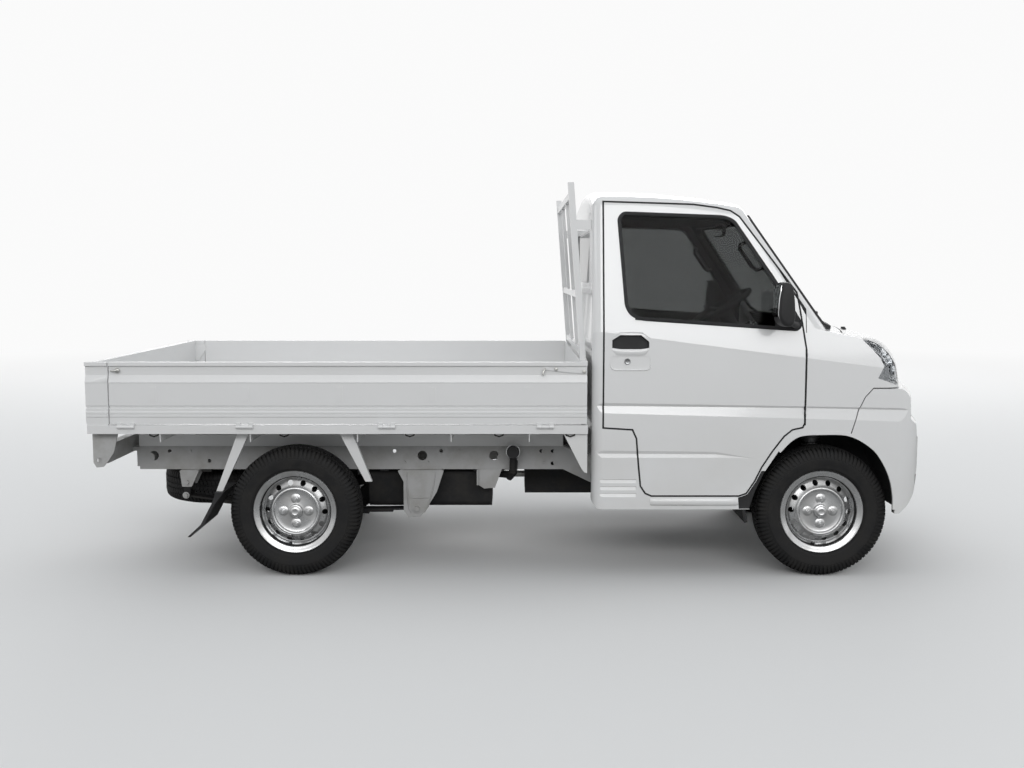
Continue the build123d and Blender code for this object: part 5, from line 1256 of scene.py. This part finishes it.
# %% [markdown]
# A truck seat is foam in a sewn cloth cover, so it bulges between its seams.
# Each cushion starts a little small, as a closed box of rounded outline, and
# is blown up by a short cloth simulation with a cap on how far it may swell.
# Seams are pressed in afterwards, because remeshing would erase them.
# %% Seat cushions
def soft_box(name, outline, half, inset=9.0):
    """Prism on an XZ outline from -half to half across, slightly shrunk."""
    shape = bmesh.new()
    path = rounded_path(outline, 34, 4)
    middle = sum(path, Vector((0, 0))) / len(path)
    small = []
    for point in path:
        way = point - middle
        small.append(tuple(middle + way * (1 - inset / max(way.length, 1))))
    slab(shape, small, -half + inset, half - inset)
    bevelled(shape, 16, 3, 60)
    return mesh_from(shape, name)


SWELL_FRAMES = 20
SWELL_PRESSURE = 4.0


def blow_up(mesh, name, cap):
    """Remesh, swell with cloth pressure and return the capped result."""
    thing = linked(name, mesh)
    remesh = thing.modifiers.new("remesh", "REMESH")
    remesh.mode = "VOXEL"
    remesh.voxel_size = 0.009
    even = evaluated(thing, name)
    thing = linked(name, even)
    start = [vert.co.copy() for vert in even.vertices]
    cloth = thing.modifiers.new("cloth", "CLOTH")
    cloth.settings.use_pressure = True
    cloth.settings.uniform_pressure_force = SWELL_PRESSURE
    cloth.settings.effector_weights.gravity = 0.0
    cloth.point_cache.frame_start = 1
    cloth.point_cache.frame_end = SWELL_FRAMES
    scene = bpy.context.scene
    for frame_number in range(1, SWELL_FRAMES + 1):
        scene.frame_set(frame_number)
    swollen = evaluated(thing, name)
    scene.frame_set(1)
    for vert, home in zip(swollen.vertices, start):
        move = vert.co - home
        if move.length > cap:
            vert.co = home + move.normalized() * cap
    return swollen


SEAM_WIDTH, SEAM_DEPTH = 0.016, 0.009


def press(mesh, lines, outward, limit, push):
    """Press seams along push where outward(point) is past limit.

    Each line is (axis it is measured on, place on that axis), in metres.
    """
    for vert in mesh.vertices:
        for axis, place in lines:
            if outward(vert.co) > limit:
                near = abs(vert.co[axis] - place) / SEAM_WIDTH
                if near < 1:
                    vert.co += Vector(push) * SEAM_DEPTH * (1 - near * near) ** 2
    mesh.update()


CUSHION = [(452, 646), (992, 646), (1000, 700), (985, 748), (930, 766), (440, 742)]
BACK = [(420, 742), (548, 742), (520, 960), (492, 1180), (452, 1228), (402, 1220)]
REST = [(408, 1226), (448, 1226), (460, 1372), (414, 1376)]
cushion = blow_up(soft_box("cushion", CUSHION, 228), "cushion", 0.016)
press(cushion, [(1, -0.13), (1, 0.13), (0, 0.70)], lambda p: p.z, 0.715, (0, 0, -1))
backrest = blow_up(soft_box("backrest", BACK, 226), "backrest", 0.018)
press(backrest, [(1, -0.13), (1, 0.13), (2, 0.90), (2, 1.06)],
      lambda p: p.x + 0.09 * (p.z - 0.742) / 0.48, 0.515, (-1, 0, 0))
rest = blow_up(soft_box("rest", REST, 122, 6.0), "rest", 0.012)
seat_parts = {"cushion": cushion, "backrest": backrest, "headrest": rest}
print({key: len(mesh.vertices) for key, mesh in seat_parts.items()})

# %% [markdown]
# The seats stand on slim rails, the headrests on two chromed posts, and each
# has a belt buckle by its side.
# %% Seats in place
SEAT_Y, SEAT_FOOT_Z = 335, 640.5
for side, sign in (("left", 1), ("right", -1)):
    for part, mesh in seat_parts.items():
        copy = placed(mesh, f"{part}_{side}", (0, sign * SEAT_Y, 0))
        pad = piece(f"seat_{part}_{side}", copy, SEAT_CLOTH, "root", 70)
        if part == "cushion" and sign > 0:
            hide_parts("seats")
posts = bmesh.new()
for seat in (SEAT_Y, -SEAT_Y):
    for dy in (-55, 55):
        tube(posts, [(434, seat + dy, 1195), (432, seat + dy, 1240)], 5.5, 12)
    for dy in (-150, 150):
        cuboid(posts, (470, seat + dy - 14, SEAT_FOOT_Z), (960, seat + dy + 14, 655))
piece("seat_posts", posts, CHROME, "root")
buckles = bmesh.new()
for y in (75, -75):
    tube(buckles, [(500, y, SEAT_FOOT_Z), (520, y, 720), (533, y, 790)], 8, 10)
    cuboid(buckles, (520, y - 13, 785), (552, y + 13, 850))
bevelled(buckles, 2.5, 2, 40)
piece("belt_buckles", buckles, TRIM_BLACK, "root")
print("seats in place")
# %% [markdown]
# The solid already carries the shape of the steering wheel; the dials ahead
# of it, the vents and the knobs of the dashboard are added. Dials are plain:
# a ring, ticks without figures and a pointer.
# %% Dials and controls
wheel_low, wheel_high = (Vector(v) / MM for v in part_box("steering_wheel"))
hub = (wheel_low + wheel_high) / 2
DIAL_R, DIAL_Z = 48, 1062
dials = bmesh.new()
ticks = bmesh.new()
for y in (hub.y - 62, hub.y + 62):
    turned(dials, [(DIAL_R, 0), (DIAL_R + 5, -1), (DIAL_R + 6, 4), (DIAL_R + 3, 8),
                   (DIAL_R - 1, 6)], (1256, y, DIAL_Z), "X", 36, closed=True)
    for k in range(13):
        angle = math.radians(20 + 20 * k)
        tube(ticks, [(1249.6, y + share * DIAL_R * math.cos(angle),
                      DIAL_Z + share * DIAL_R * math.sin(angle)) for share in (0.78, 0.92)], 0.9, 6)
    tube(ticks, [(1249, y, DIAL_Z), (1249, y - 0.6 * DIAL_R, DIAL_Z - 0.45 * DIAL_R)],
         [2.2, 0.8], 8)
piece("dial_rings", dials, CHROME, "root")
piece("dial_ticks", ticks, WHITE, "root")

trim = bmesh.new()
cuboid(trim, (1240, -600, 985), (1262, -250, 990))
for y in (-520, -430, -60, 60):
    for k in range(5):
        cuboid(trim, (1246, y - 42, 1032 + 9 * k), (1262, y + 42, 1035 + 9 * k))
cuboid(trim, (1236, -78, 905), (1262, 78, 1015))
bevelled(trim, 1.6, 2, 30)
piece("dash_vents", trim, TRIM_BLACK, "root")
knobs = bmesh.new()
for y in (-45, 0, 45):
    turned(knobs, [(0.001, 0), (16, 0), (15, -10), (12, -14), (0.001, -14)], (1238, y, 950),
           "X", 24)
piece("dash_knobs", knobs, TRIM_BLACK, "root")

# %% [markdown]
# Between the seats stand the gear lever and the hand brake, and a mirror
# hangs from the top of the screen. A grab handle is fixed to each screen
# pillar.
# %% Levers, mirror and grab handles
levers = bmesh.new()
tube(levers, [(1075, 0, 462), (1070, 0, 560), (1050, 0, 720)], [9, 7, 6], 12)
turned(levers, [(0.001, -4), (14, 0), (22, 16), (23, 32), (16, 46), (0.001, 50)],
       (1049, 0, 716), "Z", 24)
turned(levers, [(62, -1), (58, 14), (34, 34), (22, 60), (14, 84), (6, 86), (6, -1)],
       (1074, 0, 461), "Z", 28)
tube(levers, [(905, 0, 650), (930, 0, 690), (1000, 0, 742)], [11, 11, 14], 12)
piece("cab_levers", levers, TRIM_BLACK, "root", 50)
glass_case = bmesh.new()
slab(glass_case, rounded_oval(0, 1588, 115, 32), 1000, 1018, "X")
bevelled(glass_case, 5, 2, 40)
tube(glass_case, [(1016, 0, 1590), (1062, 0, 1618), (1092, 0, 1640)], [7, 6, 9], 10)
piece("cab_mirror", glass_case, TRIM_BLACK, "root")
face = bmesh.new()
slab(face, rounded_oval(0, 1588, 107, 26), 998.6, 1000.2, "X")
piece("cab_mirror_glass", face, MIRROR, "root")
grab = bmesh.new()
tube(grab, [(1085, 640, 1395), (1062, 618, 1388), (1040, 612, 1405), (1000, 606, 1462),
            (985, 607, 1482), (985, 618, 1502), (1003, 628, 1512)], [8, 9, 10, 10, 10, 9, 8], 12)
both_sides("grab_handle", grab, TRIM_BLACK, crease=60)
print("cab fittings placed")
# %% [markdown]
# The load floor is pressed sheet with shallow ribs that run along it, so
# goods slide and water drains. One rib is drawn as a low rounded bar, and
# Geometry Nodes repeat it across the floor with a fixed pitch.
# %% Ribs of the load floor
def in_a_row(make, link, given, place):
    """As many points as Count says, each Step further on."""
    line = make("GeometryNodeMeshLine")
    link(given.outputs["Count"], line.inputs["Count"])
    link(given.outputs["Step"], line.inputs["Offset"])
    link(line.outputs[0], place.inputs["Points"])


RIB_COUNT, RIB_PITCH = 19, 75
rib = bmesh.new()
swept(rib, [(-16, -2), (-12, 1.2), (-8, 2.4), (8, 2.4), (12, 1.2), (16, -2)],
      [(x, -675, 702, size) for x, size in ((-1868, 0.7), (-1856, 1.0), (228, 1.0), (240, 0.7))])
ribs = repeated("floor_ribs", mesh_from(rib, "rib"), BED_WHITE, in_a_row,
                [("Count", "Int", RIB_COUNT), ("Step", "Vector", [0, RIB_PITCH * MM, 0])])
piece("load_floor_ribs", ribs, BED_WHITE, "root", 50)
print("ribs", RIB_COUNT)

# %% [markdown]
# The bed's small iron work: gusset plates in the rear corners, a foot for
# each guard post, rope hooks under the rails, and the pin of each latch.
# %% Bed hardware
GUSSET = [(-1889, 960), (-1889, 872), (-1872, 868), (-1852, 893), (-1830, 930), (-1826, 960)]
POST_FOOT = [(263, 984), (292, 984), (286, 1040), (272, 1062), (263, 1062)]


def plate_across(shape, outline, sign, near, far):
    """Plate on an XZ outline between two distances from the middle, on the side of sign."""
    slab(shape, outline, *sorted((sign * near, sign * far)))


iron = bmesh.new()
for sign in (1, -1):
    for outline, near, far in ((GUSSET, 742, 746), (POST_FOOT, 598, 604), (POST_FOOT, 636, 642)):
        plate_across(iron, outline, sign, near, far)
bevelled(iron, 1.2, 1, 40)
piece("bed_iron", iron, BED_WHITE, "root", 45)

hooks = bmesh.new()
for sign in (1, -1):
    for x in (-1640, -1060, -500, -103, 215):
        tube(hooks, [(x - 20, sign * 764, 668), (x - 18, sign * 767, 656), (x, sign * 768, 650),
                     (x + 18, sign * 767, 656), (x + 20, sign * 764, 668)], 3.5, 8)
piece("rope_hooks", hooks, BLACK_STEEL, "root", 45)

latch = bmesh.new()
for x, z in ((274, 942), (150, 953)):
    turned(latch, [(0.001, -2), (8, -2), (8.5, 1), (7, 4), (0.001, 5)], (x, 781, z), "Y", 16)
tube(latch, [(104, 779, 953), (98, 783, 950), (92, 786, 938), (94, 786, 926)], [4, 5, 5, 4], 10)
GATE_BODIES = ("side_gate_left", "side_gate_right")
both_sides("gate_latch", latch, ZINC, GATE_BODIES, 50)
pin = bmesh.new()
tube(pin, [(-1783, 776, 950), (-1790, 782, 948), (-1800, 783, 945), (-1818, 781, 944)],
     [4, 5, 5, 3.5], 10)
turned(pin, [(0.001, -4), (11, -4), (11, 1), (8, 3.5), (0.001, 4)], (-1790, 779, 946), "Y", 18)
both_sides("rear_latch", pin, ZINC, GATE_BODIES, 50)
print("bed hardware placed")

# %% [markdown]
# Bolts hold the bed and the springs to the frame. A bolt is a hexagon head
# on a washer, drawn once and copied to each place on the rails.
# %% Frame bolts
def bolt_head(shape, x, out, z, sign, across):
    """Hexagon head and washer on a face at out from the middle, on the side of sign."""
    turned(shape, [(0.001, 0), (across * 0.82, 0), (across * 0.82, sign * 2.2),
                   (0.001, sign * 2.2)], (x, sign * out, z), "Y", 18)
    plate_across(shape, hexagon(x, z, across * 0.58, 8), sign, out + 2.0,
                 out + (2.0 + across * 0.6))


RAIL_FACE, HANGER_FACE = 400, 428
bolts = bmesh.new()
RAIL_BOLTS = [(x, z, 11) for x, z in
              ((106, 522), (162, 522), (107, 468), (162, 468), (-300, 525), (-720, 525),
               (-1190, 525), (-1590, 525), (-1240, 470), (-880, 470), (-560, 470), (-450, 470))]
SPRING_BOLTS = [(-502, 250, 24), (-1602, 378, 20), (-1609, 314, 20)]
for face_y, bolt_list in ((RAIL_FACE, RAIL_BOLTS), (HANGER_FACE, SPRING_BOLTS)):
    for sign in (1, -1):
        for x, z, size in bolt_list:
            bolt_head(bolts, x, face_y, z, sign, size)
piece("frame_bolts", bolts, FRAME_GREY, "root", 30)

# %% [markdown]
# The spring hanger is pressed plate with two raised beads and a fold. The
# beads are half-round bars that sink into the plate.
# %% Hanger beads, small bracket and filler
beads = bmesh.new()
for sign in (1, -1):
    y = sign * 429
    tube(beads, [(-548, y, 430), (-546, y, 330), (-540, y, 250), (-528, y, 226)], [2, 4, 4, 2], 10)
    tube(beads, [(-410, y, 432), (-424, y, 345), (-448, y, 262), (-466, y, 230)], [2, 4, 4, 2], 10)
    tube(beads, [(-545, y, 305), (-500, y, 301), (-440, y, 303)], [2, 4.5, 2], 10)
    plate_across(beads, [(-211, 436), (-94, 436), (-127, 346), (-178, 342), (-211, 362)],
                 sign, 401, 405)
    plate_across(beads, [(-214, 436), (-208, 436), (-208, 362), (-214, 362)], sign, 402, 424)
    turned(beads, [(0.001, -2), (24, -2), (24, 2), (15, 5), (0.001, 5)],
           (-502, y, 250), "Y", 24)
piece("hanger_beads", beads, FRAME_GREY, "root", 50)
filler = bmesh.new()
turned(filler, [(0.001, -30), (27, -30), (30, -24), (30, -4), (27, 0), (12, 2), (0.001, 2)],
       (-40, -468, 533), "Y", 32)
tube(filler, [(-40, -440, 530), (-38, -424, 505), (-36, -416, 470), (-38, -404, 420),
              (-60, -380, 392)], [17, 19, 19, 18, 18], 16)
piece("fuel_filler", filler, TRIM_BLACK, "root", 45)
ring = bmesh.new()
turned(ring, [(29.5, -8), (33, -8), (33, -2), (29.5, 0)], (-40, -468, 533), "Y", 32, closed=True)
turned(ring, [(18.5, -3), (21.5, -3), (21.5, 3), (18.5, 3)], (-37, -418, 490), "Z", 24, closed=True)
piece("filler_rings", ring, CHROME, "root", 45)
print("frame details placed")
# %% [markdown]
# The cross sills under the load floor are open channels. One L-shaped pocket
# for each end is taken out of the bed, which leaves a thin web and a flange.
# %% Open channels under the bed
SILL_PLACES = (-1589, -1188, -711, -294, 54)
SKIRT_Z, DECK_UNDER_Z = 661.0, 686.0
pockets = bmesh.new()
for x in SILL_PLACES:
    for sign in (1, -1):
        pocket = [(sign * y, z) for y, z in
                  ((440, 612), (774.5, 612), (774.5, SKIRT_Z), (747, SKIRT_Z),
                   (747, DECK_UNDER_Z), (440, DECK_UNDER_Z))]
        slab(pockets, pocket, x - 20.5, x + 26, "X")
bed = cut(NODES["load_bed"].data.copy(), mesh_from(pockets, "pockets"), "open_bed")
bed_look = piece("load_bed_open", bed, BED_WHITE, "root", 9)
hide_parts("load_bed")
print("bed", len(bed.polygons), "faces with", 2 * len(SILL_PLACES), "open channels")
# %% [markdown]
# Tail lamps have three chambers behind one lens: stop, turn and reverse. The
# solid is the housing; a ribbed lens is laid over it in three colours.
# %% Tail lamps
housing_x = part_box("tail_lamps")[0][0] / MM
print("lamp face at x", round(housing_x, 1))
LENS_RIBS, LENS_SWELL = 8, 5.0


def lens_panel(shape, y_low, y_high, z_low, z_high, x):
    """Pillow-shaped lens with fine vertical ribs, on a face that looks to -X."""
    wide, tall = 28, 10
    grid = []
    for i in range(wide + 1):
        u = i / wide
        row = []
        for j in range(tall + 1):
            v = j / tall
            edge = min(1.0, 9 * min(u, 1 - u)) ** 0.5 * min(1.0, 6 * min(v, 1 - v)) ** 0.5
            out = LENS_SWELL * edge + 0.5 * math.cos(2 * math.pi * LENS_RIBS * u) * edge
            row.append(shape.verts.new((x - out, y_low + (y_high - y_low) * u,
                                        z_low + (z_high - z_low) * v)))
        grid.append(row)
    for i in range(wide):
        for j in range(tall):
            shape.faces.new((grid[i][j], grid[i + 1][j], grid[i + 1][j + 1], grid[i][j + 1]))
    rim = ([grid[i][0] for i in range(wide + 1)] + [grid[wide][j] for j in range(1, tall + 1)]
           + [grid[i][tall] for i in range(wide - 1, -1, -1)]
           + [grid[0][j] for j in range(tall - 1, 0, -1)])
    back = [shape.verts.new((x + 1.0, v.co.y, v.co.z)) for v in rim]
    skin(shape, (rim, back), caps=False)
    shape.faces.new(back)


for part, low_y, high_y, finish in (("stop", 555, 634, LENS_RED), ("turn", 512, 552, LENS_AMBER),
                                    ("reverse", 476, 509, LENS_CLEAR)):
    shape = bmesh.new()
    lens_panel(shape, low_y, high_y, 533, 587, housing_x - 0.4)
    both_sides(f"tail_{part}", shape, finish, crease=60)

# %% [markdown]
# Number plates are left blank. Each is thin pressed sheet with a rolled edge
# and two bolts, and the rear one has its lamp over it.
# %% Blank plates
def plate(shape, x, z, facing):
    """Blank plate 330 by 165 on a face that looks to facing times X."""
    edge = rounded_oval(0, z, 165, 82.5, 9.0, 56)
    inner = rounded_oval(0, z, 160, 77.5, 9.0, 56)
    low, high = sorted((x, x + facing * 1.6))
    slab(shape, edge, low, high, "X")
    ring = [[shape.verts.new((x + facing * h, a, b)) for a, b in outline]
            for outline, h in ((edge, 1.6), (edge, 3.0), (inner, 3.0), (inner, 1.6))]
    skin(shape, ring, loop=True)


BLANK = chassis_coat("blank_plate", (0.70, 0.70, 0.69), (0.60, 0.595, 0.58), 0.35, 0.00005)
front_x = max(landing(("front_bumper",), (2300, y, z), (-1, 0, 0), Vector((1915, 0, 0))).x
              for y in (-160, 0, 160) for z in (660, 740, 800))
FRONT_PLATE_Z, REAR_PLATE_Z = 735, 566
REAR_PLATE_X = -1921
plates = bmesh.new()
plate(plates, front_x + 4, FRONT_PLATE_Z, 1)
plate(plates, REAR_PLATE_X, REAR_PLATE_Z, -1)
piece("blank_plates", plates, BLANK, "root", 40)
holders = bmesh.new()
cuboid(holders, (front_x - 26, -120, 700), (front_x + 4, 120, 770))
cuboid(holders, (-1921, -90, 516), (-1912, 90, 616))
cuboid(holders, (-1932, -40, 652), (-1909, 40, 664))
cuboid(holders, (-1914, -60, 542), (-1906, 60, 664))
bevelled(holders, 2, 2, 30)
for x, z, way in ((front_x + 5.6, FRONT_PLATE_Z + 62, 1),
                  (REAR_PLATE_X - 1.6, REAR_PLATE_Z + 62, -1)):
    for y in (-105, 105):
        turned(holders, [(0.001, 0), (8, 0), (7.4, way * 3), (4, way * 4.6), (0.001, way * 4.6)],
               (x, y, z), "X", 16)
piece("plate_holders", holders, TRIM_BLACK, "root", 40)
print("blank plates at x", round(front_x + 4), "and", REAR_PLATE_X)
# %% [markdown]
# A plain floor and soft light. The world is bright overhead and dim at the
# horizon, so faces that look up read lighter than the sides. A long soft box
# stands off each side, low enough to be mirrored in panels that lean back.
# Camera, glossy and transmission rays see a plain white ground instead, and
# the pale floor fades into it far away. For bounced light the floor is darker,
# which keeps the underside of the truck in shade.
# %% Floor, world and lamps
def seen_directly(tree, rays=("Is Camera Ray", "Is Glossy Ray", "Is Transmission Ray")):
    """1 where a ray comes from the camera, a reflection or through glass."""
    path = tree.nodes.new("ShaderNodeLightPath")
    total = path.outputs[rays[0]]
    for output in rays[1:]:
        node = tree.nodes.new("ShaderNodeMath")
        node.operation = "MAXIMUM"
        tree.links.new(total, node.inputs[0])
        tree.links.new(path.outputs[output], node.inputs[1])
        total = node.outputs[0]
    return total


def span_node(tree, value, numbers):
    """Map Range from numbers[0:2] to numbers[2:4]."""
    node = tree.nodes.new("ShaderNodeMapRange")
    for socket, number in zip(node.inputs[1:5], numbers):
        socket.default_value = number
    tree.links.new(value, node.inputs[0])
    return node


def either(tree, share, near, far, out):
    """near where share is 0 and far where it is 1, into out."""
    mix = tree.nodes.new("ShaderNodeMixShader")
    for value, socket in zip((share, near, far), mix.inputs):
        tree.links.new(value, socket)
    tree.links.new(mix.outputs[0], out)


PLAIN_WHITE = 0.96
FADE_FROM, FADE_TO = 3.2, 16.0
HORIZON, ZENITH = 0.27, 0.72
floor_mesh = bpy.data.meshes.new("floor")
half = 60.0
floor_mesh.from_pydata([(-half, -half, 0), (half, -half, 0), (half, half, 0), (-half, half, 0)],
                       [], [(0, 1, 2, 3)])
floor = linked("floor", floor_mesh)
ground = bpy.data.materials.new("floor_paper")
ground.use_nodes = True
paper = ground.node_tree
matt = paper.nodes["Principled BSDF"]
matt.inputs["Roughness"].default_value = 0.9
matt.inputs["Specular IOR Level"].default_value = 0.2
tone = paper.nodes.new("ShaderNodeMix")
tone.data_type = "RGBA"
tone.inputs[6].default_value = (0.34, 0.34, 0.335, 1)
tone.inputs[7].default_value = (0.80, 0.80, 0.795, 1)
paper.links.new(seen_directly(paper, ("Is Camera Ray", "Is Transmission Ray")), tone.inputs[0])
paper.links.new(tone.outputs[2], matt.inputs["Base Color"])
glow = paper.nodes.new("ShaderNodeEmission")
glow.inputs[0].default_value = (1, 1, 1, 1)
glow.inputs[1].default_value = PLAIN_WHITE
place = paper.nodes.new("ShaderNodeTexCoord")
far = paper.nodes.new("ShaderNodeVectorMath")
far.operation = "LENGTH"
paper.links.new(place.outputs["Object"], far.inputs[0])
fade = span_node(paper, far.outputs["Value"], (FADE_FROM, FADE_TO, 0.0, 1.0))
fade.interpolation_type = "SMOOTHSTEP"
only_seen = paper.nodes.new("ShaderNodeMath")
only_seen.operation = "MULTIPLY"
paper.links.new(fade.outputs[0], only_seen.inputs[0])
paper.links.new(seen_directly(paper), only_seen.inputs[1])
either(paper, only_seen.outputs[0], matt.outputs[0], glow.outputs[0],
       paper.nodes["Material Output"].inputs[0])
floor_mesh.materials.append(ground)

world = bpy.data.worlds.new("studio")
bpy.context.scene.world = world
world.use_nodes = True
tree = world.node_tree
background = tree.nodes["Background"]
background.inputs[0].default_value = (0.94, 0.97, 1.0, 1)
way = tree.nodes.new("ShaderNodeTexCoord")
split = tree.nodes.new("ShaderNodeSeparateXYZ")
tree.links.new(way.outputs["Generated"], split.inputs[0])
height = span_node(tree, split.outputs["Z"], (0.0, 1.0, HORIZON, ZENITH))
tree.links.new(height.outputs[0], background.inputs[1])
plain = tree.nodes.new("ShaderNodeBackground")
plain.inputs[0].default_value = (1, 1, 1, 1)
plain.inputs[1].default_value = PLAIN_WHITE
either(tree, seen_directly(tree), background.outputs[0], plain.outputs[0],
       tree.nodes["World Output"].inputs[0])

for name, place, aim, size, power in (
        ("near_box", (0.5, -11.5, 5.6), (0, 0, 1.2), (14, 3.2), 600),
        ("far_box", (0.5, 11.5, 5.6), (0, 0, 1.2), (14, 3.2), 600),
        ("front_box", (10.0, 0, 4.6), (1, 0, 1.0), (7, 2.6), 90),
        ("rear_box", (-10.0, 0, 4.6), (-1, 0, 1.0), (7, 2.6), 90)):
    light = bpy.data.lights.new(name, "AREA")
    light.shape = "RECTANGLE"
    light.size, light.size_y = size
    light.energy = power
    lamp = linked(name, light)
    lamp.location = place
    lamp.rotation_euler = (Vector(aim) - Vector(place)).to_track_quat("-Z", "Y").to_euler()

# %% [markdown]
# The camera stands level with the cab's shoulder, a little over five metres
# off the right-hand side, and looks slightly down.
# %% Camera
camera_data = bpy.data.cameras.new("camera")
SENSOR, FOCAL_TO_WIDTH, TILT_DOWN = 36.0, 1080.0 / 1024.0, 5.868
camera_data.sensor_width = SENSOR
camera_data.lens = SENSOR * FOCAL_TO_WIDTH
camera = linked("camera", camera_data)
camera.location = (-0.045, -5.53, 1.375)
camera.rotation_euler = (math.radians(90.0 - TILT_DOWN), 0.0, 0.0)
bpy.context.scene.camera = camera
bpy.context.scene.view_settings.view_transform = "Standard"
print("lens", round(camera_data.lens, 2))
